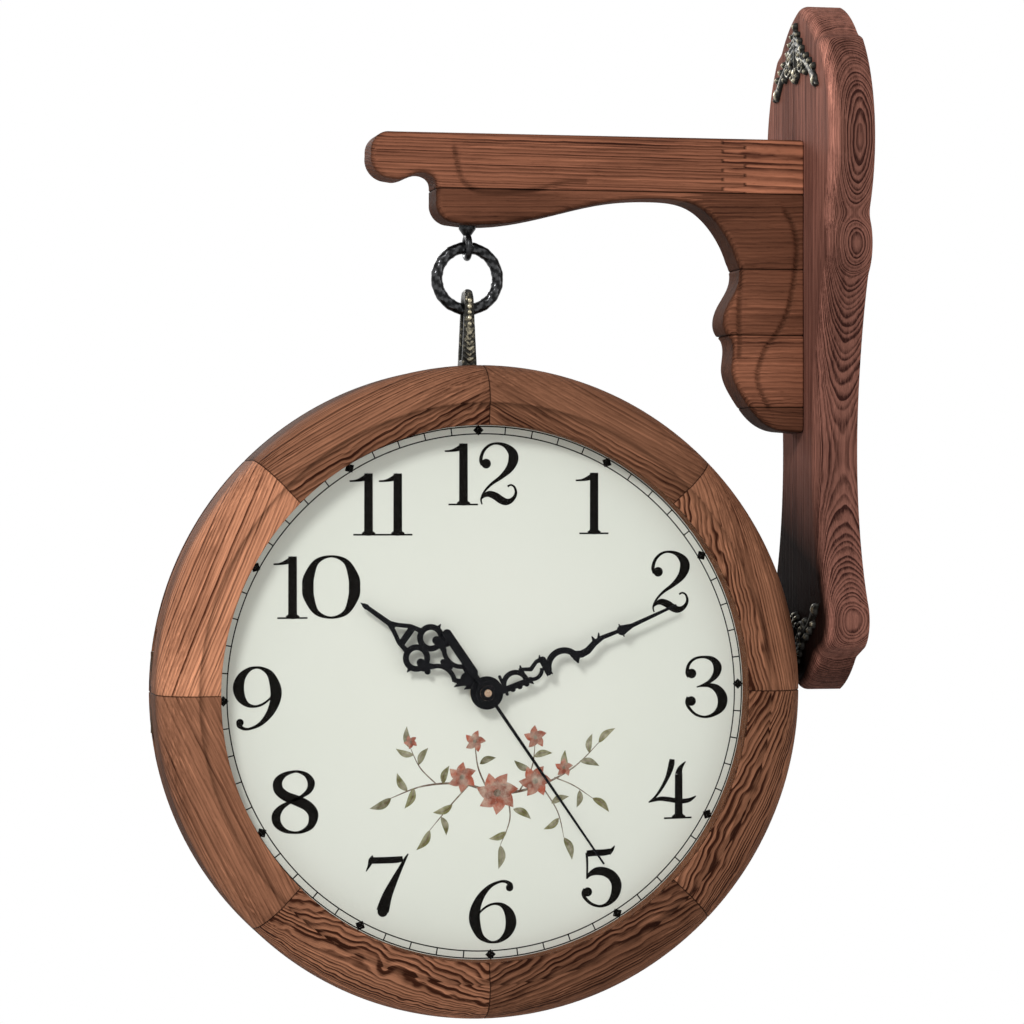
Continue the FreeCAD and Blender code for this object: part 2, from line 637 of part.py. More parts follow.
def hinge_cuts(side):
    # wood taken away for the knuckles and for one leaf; side is -1 in front, +1 behind
    half = HINGE_HALF_LENGTH + SLIDE
    seam = CASE_SEAM + side * FACE_GAP / 2
    long = half + HINGE_RELIEF
    out = -CASE_RADIUS - OVERRUN
    nose = [V(hinge_x + HINGE_RELIEF - HINGE_BARREL, CASE_SEAM, -long)]
    nose.append(V(out, CASE_SEAM + side * (HINGE_RELIEF + OVERRUN), -long))
    nose.append(V(out, CASE_SEAM, -long))
    relief = Part.Face(Part.makePolygon(nose + nose[:1])).extrude(V(0, 0, 2 * long))
    depth = side * (HINGE_LEAF_THICK + FIT)
    low = V(hinge_x - HINGE_BARREL, min(seam + depth, seam - side * OVERRUN), -half)
    high = V(hinge_x + HINGE_LEAF_WIDTH + SLIDE, max(seam + depth, seam - side * OVERRUN), half)
    return [relief, block(low, high)]


def catch_cut(side):
    face = CASE_SEAM + side * FACE_GAP / 2
    start = V(catch_x, face - side * OVERRUN, 0)
    return cylinder(CATCH_RADIUS + FIT, CATCH_THICK + OVERRUN + FIT, start, V(0, side, 0))


def front_ring():
    depth = HANGER_STUD_LENGTH + HANGER_BED + OVERRUN + FIT
    stud = cylinder(HANGER_STUD + FIT, depth, V(-HANG_OFFSET, 0, CASE_RADIUS + OVERRUN), V(0, 0, -1))
    cuts = hinge_cuts(-1) + [catch_cut(-1), stud]
    return to_clock(case_ring(CASE_SEAM - FACE_GAP / 2, cuts), False)


def rear_ring():
    # turned round with its cuts, so the ring itself stays the same shape on both sides
    cuts = hinge_cuts(1) + [catch_cut(1)]
    for cut in cuts:
        cut.rotate(V(0, 0, 0), V(0, 0, 1), 180)
    return to_clock(case_ring(-CASE_SEAM - FACE_GAP / 2, cuts), True)


def knuckle(index):
    length = (2 * HINGE_HALF_LENGTH - (HINGE_KNUCKLES - 1) * HINGE_PLAY) / HINGE_KNUCKLES
    base = V(hinge_x, CASE_SEAM, -HINGE_HALF_LENGTH + index * (length + HINGE_PLAY))
    return base, length


def hinge_leaf(side, indices, bore):
    inner = CASE_SEAM + side * FACE_GAP / 2
    outer = inner + side * HINGE_LEAF_THICK
    low = V(hinge_x, min(inner, outer), -HINGE_HALF_LENGTH)
    high = V(hinge_x + HINGE_LEAF_WIDTH, max(inner, outer), HINGE_HALF_LENGTH)
    leaf = block(low, high)
    bores = []
    for index in range(HINGE_KNUCKLES):
        base, length = knuckle(index)
        if index in indices:
            leaf = leaf.fuse(cylinder(HINGE_BARREL, length, base, V(0, 0, 1)))
            bores.append(cylinder(bore, length + 2 * OVERRUN, base - V(0, 0, OVERRUN), V(0, 0, 1)))
        else:
            room_base = base - V(0, 0, HINGE_PLAY)
            room = cylinder(HINGE_BARREL + HINGE_PLAY, length + 2 * HINGE_PLAY, room_base, V(0, 0, 1))
            leaf = leaf.cut(room)
    leaf = leaf.cut(bores)
    leaf.translate(clock_centre)
    return leaf


def hinge_pin():
    base = clock_centre + V(hinge_x, CASE_SEAM, -HINGE_HALF_LENGTH)
    return cylinder(HINGE_PIN, 2 * HINGE_HALF_LENGTH, base, V(0, 0, 1))


def catch_disc(side):
    base = clock_centre + V(catch_x, CASE_SEAM + side * FACE_GAP / 2, 0)
    return cylinder(CATCH_RADIUS, CATCH_THICK, base, V(0, side, 0))


# One face of the clock

def glass():
    return turned(glass_radius, glass_back, glass_face)


def liner():
    return turned_tube(glass_radius, lip_radius, dial_face, glass_back)


def dial():
    return turned_tube(glass_radius, BUSH_RADIUS + SLIDE, dial_back, dial_face)


def battery_place():
    middle_y = -dial_back + BATTERY_FLOOR + FIT + BATTERY_RADIUS
    middle_z = BATTERY_EDGE + SLIDE + BATTERY_RADIUS - MOVEMENT_SIDE / 2
    return V(-BATTERY_LENGTH / 2, middle_y, middle_z)


def battery_bay():
    place = battery_place()
    half = BATTERY_LENGTH / 2 + BATTERY_TIP + SLIDE
    reach_z = BATTERY_RADIUS + SLIDE
    low = V(-half, -dial_back + BATTERY_FLOOR, place.z - reach_z)
    return block(low, V(half, -movement_back + OVERRUN, place.z + reach_z))


def knob_place():
    return V(KNOB_PLACE_SHARE[0] * MOVEMENT_SIDE, -movement_back, KNOB_PLACE_SHARE[1] * MOVEMENT_SIDE)


def movement_case():
    half = MOVEMENT_SIDE / 2
    body = block(V(-half, -dial_back, -half), V(half, -movement_back, half))
    corners = [edge for edge in body.Edges if abs(edge.tangentAt(edge.FirstParameter).y) > 1 - TOUCH]
    body = body.makeFillet(MOVEMENT_ROUND, corners)
    cuts = [battery_bay()]
    shafts = ((PIPE_RADIUS, PIPE_DEPTH), (ARBOR_RADIUS, ARBOR_DEPTH), (SECONDS_RADIUS, SECONDS_DEPTH))
    for radius, depth in shafts:
        cuts.append(turned(radius + FIT, dial_back - depth - FIT, dial_back + OVERRUN))
    stem_start = knob_place() + V(0, OVERRUN, 0)
    cuts.append(cylinder(KNOB_STEM + FIT, KNOB_STEM_LENGTH + OVERRUN + FIT, stem_start, V(0, -1, 0)))
    return body.cut(cuts)


def battery():
    place = battery_place()
    can = cylinder(BATTERY_RADIUS, BATTERY_LENGTH, place, V(1, 0, 0))
    tip = cylinder(BATTERY_TIP_RADIUS, BATTERY_TIP, place + V(BATTERY_LENGTH, 0, 0), V(1, 0, 0))
    return can.fuse(tip)


def setting_knob():
    place = knob_place()
    head = cylinder(KNOB_RADIUS, KNOB_HEIGHT, place + V(0, SLIDE, 0), V(0, 1, 0))
    grips = []
    for index in range(KNOB_GRIPS):
        angle = 2 * math.pi * index / KNOB_GRIPS
        spot = place + V(KNOB_RADIUS * math.cos(angle), SLIDE - OVERRUN, KNOB_RADIUS * math.sin(angle))
        grips.append(cylinder(KNOB_GRIP, KNOB_HEIGHT + 2 * OVERRUN, spot, V(0, 1, 0)))
    stem = cylinder(KNOB_STEM, KNOB_STEM_LENGTH + SLIDE, place + V(0, SLIDE, 0), V(0, -1, 0))
    return head.cut(grips).fuse(stem)


def bush():
    return turned_tube(BUSH_RADIUS, PIPE_RADIUS + FIT, dial_back, bush_end)


def nut():
    # washer and hexagon nut on the face of the dial
    washer_face = dial_face + WASHER_THICK
    washer = turned(WASHER_RADIUS, dial_face, washer_face)
    corners = []
    for index in range(NUT_SIDES + 1):
        angle = 2 * math.pi * index / NUT_SIDES
        corners.append(V(NUT_RADIUS * math.cos(angle), -washer_face, NUT_RADIUS * math.sin(angle)))
    hexagon = Part.Face(Part.makePolygon(corners)).extrude(V(0, -NUT_THICK, 0))
    bore = turned(BUSH_RADIUS + FIT, dial_face - OVERRUN, washer_face + NUT_THICK + OVERRUN)
    return washer.fuse(hexagon).cut(bore)


def hour_pipe():
    return turned_tube(PIPE_RADIUS, ARBOR_RADIUS + FIT, dial_back - PIPE_DEPTH, hour_face)


def minute_arbor():
    return turned_tube(ARBOR_RADIUS, SECONDS_RADIUS + FIT, dial_back - ARBOR_DEPTH, minute_face)


def seconds_arbor():
    return turned(SECONDS_RADIUS, dial_back - SECONDS_DEPTH, seconds_face)


def hand(faces, bore, face, angle):
    # drawn lying along X, stood up to twelve o'clock and turned to its time
    plate = pierced_plate(faces, HAND_THICK)
    plate = plate.cut(cylinder(bore, HAND_THICK + 2 * OVERRUN, V(0, 0, -OVERRUN), V(0, 0, 1)))
    plate.rotate(V(0, 0, 0), V(0, 0, 1), 90)
    plate.rotate(V(0, 0, 0), V(1, 0, 0), 90)
    plate.translate(V(0, HAND_THICK - face, 0))
    plate.rotate(V(0, 0, 0), V(0, 1, 0), angle)
    return plate


def hour_hand():
    pair = flat_pieces(HOUR_PAIR_SHARES, hour_length)
    faces = flat_pieces(HOUR_MIDLINE_SHARES, hour_length) + pair + mirrored(pair)
    return hand(faces, PIPE_RADIUS + FIT, hour_face, HOUR_ANGLE)


def minute_hand():
    return hand(flat_pieces(MINUTE_SHARES, minute_length), ARBOR_RADIUS + FIT, minute_face, MINUTE_ANGLE)


def seconds_hand():
    faces = flat_pieces(SECONDS_SHARES, seconds_length)
    blade = hand(faces, SECONDS_RADIUS + FIT, seconds_face, SECONDS_ANGLE)
    cap = turned(CAP_RADIUS, seconds_face, seconds_face + CAP_HEIGHT)
    dome = cap.makeFillet(CAP_HEIGHT / 2, edges_on_plane(cap, "y", -seconds_face - CAP_HEIGHT))
    return blade.fuse(dome)


# Writing the pieces

def save(name, shape):
    shape.exportStep("parts/" + name + ".step")


def main():
    os.makedirs("parts", exist_ok=True)
    save("wall_plate", wall_plate())
    for number, strip in enumerate(arm_strips(), start=1):
        save("arm_strip_%d" % number, strip)
    save("arm_screws", Part.makeCompound([arm_screw(height, 0) for height in arm_screw_heights()]))
    save("upper_ornament", ornament())
    save("lower_ornament", lower_ornament())
    save("screw_eye", screw_eye())
    save("hanging_ring", hanging_ring())
    save("hanger", hanger())
    save("front_ring", front_ring())
    save("rear_ring", rear_ring())
    save("hinge_front_leaf", hinge_leaf(-1, (0, 2), HINGE_PIN + FIT))
    save("hinge_rear_leaf", hinge_leaf(1, (1,), HINGE_PIN + FIT))
    save("hinge_pin", hinge_pin())
    save("catch_magnet", catch_disc(-1))
    save("catch_strike", catch_disc(1))
    makers = (
        ("glass", glass),
        ("liner", liner),
        ("dial", dial),
        ("movement", movement_case),
        ("battery", battery),
        ("setting_knob", setting_knob),
        ("bush", bush),
        ("nut", nut),
        ("hour_pipe", hour_pipe),
        ("hour_hand", hour_hand),
        ("minute_arbor", minute_arbor),
        ("minute_hand", minute_hand),
        ("seconds_arbor", seconds_arbor),
        ("seconds_hand", seconds_hand),
    )
    for name, make in makers:
        shape = make()
        save("front_" + name, to_clock(shape.copy(), False))
        save("rear_" + name, to_clock(shape.copy(), True))


main()
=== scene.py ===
"""Dressed model of a two-faced bracket clock, laid out as an add-on."""

import json
import math

import bmesh
import bpy
from bpy.props import FloatProperty, FloatVectorProperty, PointerProperty
from mathutils import Matrix, Vector


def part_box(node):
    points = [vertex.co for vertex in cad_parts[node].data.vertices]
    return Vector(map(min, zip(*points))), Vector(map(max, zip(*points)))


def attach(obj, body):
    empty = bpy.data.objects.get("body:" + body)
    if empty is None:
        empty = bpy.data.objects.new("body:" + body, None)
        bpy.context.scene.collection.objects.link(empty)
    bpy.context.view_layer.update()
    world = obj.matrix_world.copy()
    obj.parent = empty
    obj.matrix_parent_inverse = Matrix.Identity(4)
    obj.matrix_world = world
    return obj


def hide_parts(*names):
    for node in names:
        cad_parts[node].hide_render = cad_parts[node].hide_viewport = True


bl_info = {
    "name": "Bracket Clock",
    "version": (1, 0, 0),
    "blender": (4, 5, 0),
    "location": "3D View > Sidebar > Bracket Clock",
    "description": "Dresses a two-faced bracket clock with wood, metal, glass and a printed dial",
    "category": "Object",
}

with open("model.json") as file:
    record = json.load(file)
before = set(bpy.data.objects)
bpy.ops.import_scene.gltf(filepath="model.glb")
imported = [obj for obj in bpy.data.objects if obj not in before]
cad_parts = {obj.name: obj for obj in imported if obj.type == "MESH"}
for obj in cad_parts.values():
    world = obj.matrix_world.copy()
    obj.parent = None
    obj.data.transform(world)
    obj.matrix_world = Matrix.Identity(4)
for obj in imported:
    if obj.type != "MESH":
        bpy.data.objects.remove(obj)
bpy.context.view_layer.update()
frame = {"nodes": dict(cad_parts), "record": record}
MM = 0.001

# Places read from the frame, in metres
GLASS_LOW, GLASS_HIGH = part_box("front_glass")
CLOCK = Vector(((GLASS_LOW.x + GLASS_HIGH.x) / 2, 0.0, (GLASS_LOW.z + GLASS_HIGH.z) / 2))
DIAL_FACE = -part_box("front_dial")[0].y
RING_LOW, RING_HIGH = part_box("front_ring")
CASE_RADIUS = (RING_HIGH.z - RING_LOW.z) / 2
PLATE_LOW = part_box("wall_plate")[0]
ARM_LOW, ARM_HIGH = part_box("arm_strip_1")
ARM_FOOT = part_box("arm_strip_5")[0].z
LINK_LOW, LINK_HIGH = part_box("hanging_ring")
LINK_MIDDLE = (LINK_LOW + LINK_HIGH) / 2
HANGER_LOW, HANGER_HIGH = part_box("hanger")

SIDES = (("front", "clock", 1.0), ("rear", "rear_case", -1.0))


# Settings that a user would change

class WoodSettings(bpy.types.PropertyGroup):
    case_light: FloatVectorProperty(name="Case earlywood", description="Pale wood of the case ring",
                                    subtype="COLOR", default=(0.410, 0.180, 0.100), min=0.0, max=1.0)
    case_dark: FloatVectorProperty(name="Case latewood", description="Scorched lines of the case ring",
                                   subtype="COLOR", default=(0.040, 0.012, 0.006), min=0.0, max=1.0)
    arm_light: FloatVectorProperty(name="Bracket earlywood", description="Pale wood of the arm",
                                   subtype="COLOR", default=(0.315, 0.122, 0.068), min=0.0, max=1.0)
    arm_dark: FloatVectorProperty(name="Bracket latewood", description="Scorched lines of the arm",
                                  subtype="COLOR", default=(0.034, 0.011, 0.007), min=0.0, max=1.0)
    plate_light: FloatVectorProperty(name="Plate earlywood", description="Pale wood of the wall plate",
                                     subtype="COLOR", default=(0.315, 0.135, 0.098), min=0.0, max=1.0)
    plate_dark: FloatVectorProperty(name="Plate latewood", description="Scorched lines of the wall plate",
                                    subtype="COLOR", default=(0.040, 0.014, 0.011), min=0.0, max=1.0)
    joint_width: FloatProperty(name="Joint width", description="Width of the groove between case segments",
                               default=1.2 * MM, min=0.0, unit="LENGTH")
    carving: FloatProperty(name="Carving depth", description="Depth of the scroll lines on the arm",
                           default=1.2 * MM, min=0.0, unit="LENGTH")


class MetalSettings(bpy.types.PropertyGroup):
    brass: FloatVectorProperty(name="Rubbed brass", description="High spots of the antiqued castings",
                               subtype="COLOR", default=(0.56, 0.50, 0.35), min=0.0, max=1.0)
    patina: FloatVectorProperty(name="Patina", description="Hollows of the antiqued castings",
                                subtype="COLOR", default=(0.024, 0.023, 0.020), min=0.0, max=1.0)
    gunmetal: FloatVectorProperty(name="Gunmetal", description="Plating of the ring and the eye",
                                  subtype="COLOR", default=(0.060, 0.061, 0.063), min=0.0, max=1.0)
    enamel: FloatVectorProperty(name="Hand enamel", description="Black enamel of the hands",
                                subtype="COLOR", default=(0.004, 0.004, 0.005), min=0.0, max=1.0)
    copper: FloatVectorProperty(name="Centre cap", description="Copper of the cap over the hands",
                                subtype="COLOR", default=(0.52, 0.36, 0.25), min=0.0, max=1.0)


class DialSettings(bpy.types.PropertyGroup):
    paper: FloatVectorProperty(name="Paper", description="Ground of the dial", subtype="COLOR",
                               default=(0.83, 0.84, 0.76), min=0.0, max=1.0)
    ink: FloatVectorProperty(name="Ink", description="Numerals and minute track", subtype="COLOR",
                             default=(0.004, 0.0035, 0.003), min=0.0, max=1.0)
    numeral_height: FloatProperty(name="Numeral height", description="Height of a numeral",
                                  default=38.5 * MM, min=0.0, unit="LENGTH")
    numeral_weight: FloatProperty(name="Numeral weight", description="Thickness of the numerals' strokes",
                                  subtype="FACTOR", default=1.18, min=0.1, max=3.0)
    track_inner: FloatProperty(name="Track, inner line", description="Radius of the inner minute line",
                               default=159.0 * MM, min=0.0, unit="LENGTH")
    track_outer: FloatProperty(name="Track, outer line", description="Radius of the outer minute line",
                               default=163.5 * MM, min=0.0, unit="LENGTH")
    turn: FloatProperty(name="Dial turn", description="Turn of the printed track, clockwise",
                        subtype="ANGLE", default=math.radians(-1.35))
    track_line: FloatProperty(name="Track line", description="Width of the lines and ticks of the track",
                              default=0.75 * MM, min=0.0, unit="LENGTH")


class StageSettings(bpy.types.PropertyGroup):
    lens: FloatProperty(name="Lens", description="Focal length of the camera in millimetres",
                        default=123.05, min=1.0)
    place: FloatVectorProperty(name="Camera place", description="From the clock's middle to the camera",
                               subtype="XYZ", unit="LENGTH", default=(-0.4173, -2.1391, 0.1109))
    turn: FloatProperty(name="Camera turn", description="Turn of the view to the right", subtype="ANGLE",
                        default=0.203)
    key_power: FloatProperty(name="Key light", description="Power of the large light at the upper left",
                             default=30.0, min=0.0, unit="POWER")
    fill_power: FloatProperty(name="Fill light", description="Power of the soft light at the right",
                              default=4.5, min=0.0, unit="POWER")
    back_power: FloatProperty(name="Back light", description="Power of the soft light behind the clock",
                              default=20.0, min=0.0, unit="POWER")
    floor_drop: FloatProperty(name="Floor drop", description="From the foot of the clock down to the floor",
                              default=0.36, min=0.0, unit="LENGTH")


class ClockSettings(bpy.types.PropertyGroup):
    wood: PointerProperty(type=WoodSettings)
    metal: PointerProperty(type=MetalSettings)
    dial: PointerProperty(type=DialSettings)
    stage: PointerProperty(type=StageSettings)


def settings():
    return bpy.context.scene.bracket_clock


# Node trees

class Value:
    """Output of a node; a sum or product of values is one more node."""

    def __init__(self, tree, socket):
        self.tree = tree
        self.socket = socket

    def __add__(self, other):
        return self.tree.math("ADD", self, other)

    def __sub__(self, other):
        return self.tree.math("SUBTRACT", self, other)

    def __rsub__(self, other):
        return self.tree.math("SUBTRACT", other, self)

    def __mul__(self, other):
        return self.tree.math("MULTIPLY", self, other)

    def __abs__(self):
        return self.tree.math("ABSOLUTE", self)

    def __lt__(self, other):
        return self.tree.math("LESS_THAN", self, other)

    def __gt__(self, other):
        return self.tree.math("GREATER_THAN", self, other)


class NodeTree:
    """Nodes of a finish or of the surroundings, with short calls that make them."""

    def __init__(self, owner, output):
        owner.use_nodes = True
        self.tree = owner.node_tree
        self.tree.nodes.clear()
        self.output = self.tree.nodes.new("ShaderNodeOutput" + output)

    def fill(self, socket, value):
        if isinstance(value, Value):
            self.tree.links.new(value.socket, socket)
        else:
            socket.default_value = value

    def node(self, kind, inputs=None, **fields):
        node = self.tree.nodes.new("ShaderNode" + kind)
        for key, value in fields.items():
            setattr(node, key, value)
        for key, value in (inputs or {}).items():
            self.fill(node.inputs[key], value)
        return node

    def value(self, kind, inputs=None, output=0, **fields):
        return Value(self, self.node(kind, inputs, **fields).outputs[output])

    def math(self, operation, first, second=0.0, clamp=False):
        return self.value("Math", {0: first, 1: second}, operation=operation, use_clamp=clamp)

    def vector(self, operation, first, second=(0.0, 0.0, 0.0)):
        output = "Value" if operation in ("LENGTH", "DISTANCE") else "Vector"
        return self.value("VectorMath", {0: first, 1: second}, output, operation=operation)

    def noise(self, place, scale, detail=3.0, roughness=0.5):
        # scale is one number for all ways, or one each along X, Y and Z
        scale = scale if isinstance(scale, tuple) else (scale, scale, scale)
        return self.value("TexNoise", {"Vector": self.vector("MULTIPLY", place, scale), "Scale": 1.0,
                                       "Detail": detail, "Roughness": roughness})

    def span(self, value, low, high, new_low=0.0, new_high=1.0):
        return self.value("MapRange", {0: value, 1: low, 2: high, 3: new_low, 4: new_high})

    def mix(self, factor, first, second, blend="MIX"):
        inputs = {0: factor, 6: colour(first), 7: colour(second)}
        return self.value("Mix", inputs, 2, data_type="RGBA", blend_type=blend)

    def ramp(self, value, stops):
        node = self.node("ValToRGB", {0: value})
        band = node.color_ramp
        while len(band.elements) < len(stops):
            band.elements.new(0.5)
        for element, (place, shade) in zip(band.elements, stops):
            element.position = place
            element.color = (shade, shade, shade, 1.0)
        return Value(self, node.outputs[0])

    def attribute(self, name, output="Vector"):
        return self.value("Attribute", None, output, attribute_name=name)

    def place(self):
        return self.value("TexCoord", None, "Object")

    def parts(self, vector, kind="XYZ"):
        return [Value(self, part) for part in self.node("Separate" + kind, {0: vector}).outputs]

    def facing(self):
        return self.parts(self.value("TexCoord", None, "Normal"))

    def joined(self, *parts, kind="XYZ"):
        return self.value("Combine" + kind, dict(enumerate(parts)))

    def bump(self, height, distance, strength=1.0):
        return self.value("Bump", {"Height": height, "Strength": strength, "Distance": distance})

    def show(self, shader):
        self.fill(self.output.inputs[0], shader)


class Finish(NodeTree):
    """Node tree of one material."""

    def __init__(self, name):
        self.material = bpy.data.materials.new(name)
        super().__init__(self.material, "Material")

    def surface(self, **inputs):
        sockets = {key.replace("_", " "): value for key, value in inputs.items()}
        self.show(self.value("BsdfPrincipled", sockets))
        return self.material


def colour(value):
    if isinstance(value, Value) or len(value) == 4:
        return value
    return (*value, 1.0)


def scaled(shade, factor):
    return tuple(factor * part for part in shade)


FINISHES = {}


def finish(make, name=""):
    # each finish is made once, and is named like its function unless a name is given
    name = name or make.__name__
    if name not in FINISHES:
        FINISHES[name] = make(name)
    return FINISHES[name]


def dress(node, make, name=""):
    frame["nodes"][node].data.materials[0] = finish(make, name)


# Wood

# how dark one year's ring is from its pale start to its hard end
LATEWOOD = ((0.0, 0.40), (0.08, 0.0), (0.38, 0.10), (0.68, 0.72), (0.90, 1.0), (1.0, 0.55))
SOOT = (0.008, 0.004, 0.003)


def board_grain(look):
    """What the mesh says of its boards: place in the tree, tone, contrast, joint and play of the rings.

    The place has the length of the tree along X and the pith at its origin.
    """
    tone, contrast, joint = look.parts(look.attribute("board", "Color"), "Color")
    return look.attribute("grain"), tone, contrast, joint, look.attribute("board", "Alpha")


def wood_finish(name, light, dark, grain=board_grain, spacing=1.0 * MM):
    """Scorched and brushed softwood: growth rings round a pith line, cut by whatever surface it is."""
    look = Finish(name)
    place, tone, contrast, joint, play = grain(look)
    swell = look.noise(place, (9.0, 30.0, 30.0), 2.0, 0.45)
    ripple = look.noise(place, (75.0, 60.0, 60.0), 1.0)
    sway = look.span(swell, 0.0, 1.0, -4.0, 4.0) + look.span(ripple, 0.0, 1.0, -2.0, 2.0)
    out = look.vector("LENGTH", look.vector("MULTIPLY", place, (0.0, 1.0, 1.0)))
    across = look.math("DIVIDE", out, spacing)
    uneven = look.value("TexNoise", {"W": across, "Scale": 0.33, "Detail": 1.0}, noise_dimensions="1D")
    rings = across + sway * play + look.span(uneven, 0.2, 0.8, -0.5, 0.5)
    year = look.value("TexWhiteNoise", {"W": look.math("FLOOR", rings)}, "Value", noise_dimensions="1D")
    late = look.ramp(look.math("FRACT", rings), LATEWOOD) * look.span(year, 0.0, 1.0, 0.40, 1.15)
    late = late * look.span(look.noise(place, (16.0, 700.0, 700.0), 3.0, 0.6), 0.34, 0.58, 0.62, 1.0)
    fibre = look.noise(place, (40.0, 2300.0, 2300.0), 3.0, 0.62)
    fleck = look.span(look.noise(place, (220.0, 3200.0, 3200.0), 2.0), 0.58, 0.74)
    scorch = look.span(look.noise(place, (11.0, 42.0, 42.0), 3.0, 0.55), 0.36, 0.70)
    band = look.span(look.noise(place, (7.0, 190.0, 190.0), 3.0, 0.55), 0.40, 0.72)
    streak = look.span(look.noise(place, (14.0, 1500.0, 1500.0), 3.0, 0.6), 0.54, 0.76)
    depth = late * contrast + scorch * 0.22 + band * 0.34 + look.span(fibre, 0.25, 0.75, -0.10, 0.22)
    depth = look.math("ADD", depth, fleck * 0.20, clamp=True)
    shade = look.mix(depth, light, dark)
    shade = look.mix(streak * look.span(late, 0.0, 1.0, 0.75, 0.15), shade, scaled(light, 1.55))
    shade = look.mix(1.0, shade, look.joined(tone, tone, tone, kind="Color"), "MULTIPLY")
    shade = look.mix(joint * 0.94, shade, SOOT)
    relief = late * contrast + fibre * 0.55
    return look.surface(Base_Color=shade, Roughness=look.span(depth, 0.0, 1.0, 0.72, 0.58),
                        Normal=look.bump(relief, 0.5 * MM, 0.8), Specular_IOR_Level=0.02)


def case_wood(name):
    wood = settings().wood
    return wood_finish(name, wood.case_light, wood.case_dark)


def arm_wood(name):
    wood = settings().wood
    drops = [ARM_HIGH.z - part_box("arm_strip_%d" % number)[0].z for number in range(1, 5)]

    def grain(look):
        place, tone, contrast, joint, play = board_grain(look)
        spot = look.parts(look.place())
        out = PLATE_LOW.x - spot[0]
        down = ARM_HIGH.z - spot[2]
        top_strip = down < drops[0]
        # the top strip is finger jointed near the plate, with a paler and coarser board beyond
        fingers = look.math("PINGPONG", down, 2.9 * MM)
        edge = look.span(fingers, 1.15 * MM, 1.75 * MM, 38.5 * MM, 53.0 * MM)
        near = (out < edge) * top_strip
        # the strip below it has a pale run that ends in small fingers
        small = look.math("PINGPONG", down, 1.5 * MM)
        run = out > look.span(small, 0.2 * MM, 1.3 * MM, 66.0 * MM, 80.0 * MM)
        run = run * look.span(out, 0.175, 0.115) * (down > drops[0])
        run = run * look.span(down, drops[0] + 7.5 * MM, drops[0] + 5.0 * MM)
        coarse = look.span(near, 0.0, 1.0, 1.0, 0.42)
        place = look.vector("MULTIPLY", place, look.joined(1.0, coarse, coarse))
        tone = tone + near * 0.52 + run * 0.45
        contrast = contrast + near * 0.62
        # burnt on the sawn walls and the rounded edges, with painted shade there as well
        tone = tone * look.span(abs(look.facing()[1]), 0.35, 0.97, 0.42, 1.0)
        # dark along the glue lines and the fingers
        for drop in drops:
            joint = look.math("MAXIMUM", (abs(down - drop) < 0.32 * MM) * 0.6, joint)
        seam = look.span(abs(out - edge), 0.4 * MM, 1.5 * MM, 0.62, 0.0) * top_strip
        return place, tone, contrast, look.math("MAXIMUM", seam, joint), play

    return wood_finish(name, wood.arm_light, wood.arm_dark, grain)


def plate_wood(name):
    wood = settings().wood
    # the pith lies outside the near edge, so its swells show ovals
    pith = (-10.0 * MM, PLATE_LOW.y - 17.0 * MM, 0.0)

    def grain(look):
        spot = look.place()
        deep, across, up = look.parts(look.vector("SUBTRACT", spot, pith))
        facing = look.facing()
        ahead = look.span(facing[0], -0.5, -0.95)
        tone = look.span(look.noise(spot, (22.0, 22.0, 6.0), 2.0), 0.3, 0.7, 0.74, 1.14)
        # rubbed pale on the rounded front edge, with a painted highlight there too, most above the arm and
        # low on the belly
        rubbed = look.span(abs(facing[0]) * abs(facing[1]), 0.12, 0.48)
        rubbed = rubbed * look.span(look.noise(spot, (30.0, 30.0, 9.0)), 0.32, 0.54)
        tone = tone + rubbed * look.span(abs(up + 0.06), 0.05, 0.12, 0.10, 1.5)
        # painted highlight on top of the cap, darker at the foot
        painted_cap_highlight = look.span(facing[2], 0.4, 0.85) * look.span(up, 0.185, 0.200)
        tone = tone * look.span(painted_cap_highlight, 0.0, 1.0, 1.0, 1.7) * look.span(up, -0.190, -0.205, 1.0, 0.6)
        # painted shadow of the clock low on the face, higher on its far side, and painted light higher up
        # the face
        painted_clock_shadow = ahead * look.span(up - across * 0.35, -0.100, -0.160)
        high = ahead * look.span(up, 0.02, 0.11)
        tone = tone * look.span(painted_clock_shadow, 0.0, 1.0, 1.0, 0.05) * look.span(high, 0.0, 1.0, 1.0, 1.4)
        return look.joined(up + 0.31, across, deep * 1.7), tone, 1.15, 0.0, 0.22

    return wood_finish(name, wood.plate_light, wood.plate_dark, grain, 1.35 * MM)


def liner_wood(name):
    wood = settings().wood

    def grain(look):
        return look.vector("ADD", look.place(), (0.5, 0.35, 0.0)), 0.62, 0.5, 0.0, 0.3

    return wood_finish(name, wood.case_light, wood.case_dark, grain, 2.0 * MM)


# Metals, plastic, print and glass

def antique_brass(name):
    """Cast brass with dark hollows and rubbed high spots; the relief value tells height."""
    metal = settings().metal
    look = Finish(name)
    place = look.place()
    worn = look.noise(place, 420.0, 4.0, 0.6)
    rub = look.span(look.attribute("relief", "Fac") + look.span(worn, 0.3, 0.7, -0.20, 0.20), 0.66, 1.10)
    grit = look.noise(place, 1500.0, 2.0, 0.6)
    return look.surface(Base_Color=look.mix(rub, metal.patina, metal.brass), Metallic=0.88,
                        Roughness=look.span(rub, 0.0, 1.0, 0.50, 0.20),
                        Normal=look.bump(grit, 0.12 * MM, 0.6))


def gunmetal(name):
    plating = settings().metal.gunmetal
    look = Finish(name)
    place = look.place()
    worn = look.noise(place, 380.0, 4.0, 0.62)
    fine = look.noise(place, 2200.0, 2.0)
    shade = look.mix(look.span(worn, 0.42, 0.70), scaled(plating, 0.35), plating)
    return look.surface(Base_Color=shade, Metallic=0.92, Roughness=look.span(worn, 0.3, 0.7, 0.42, 0.24),
                        Normal=look.bump(fine, 0.06 * MM, 0.5))


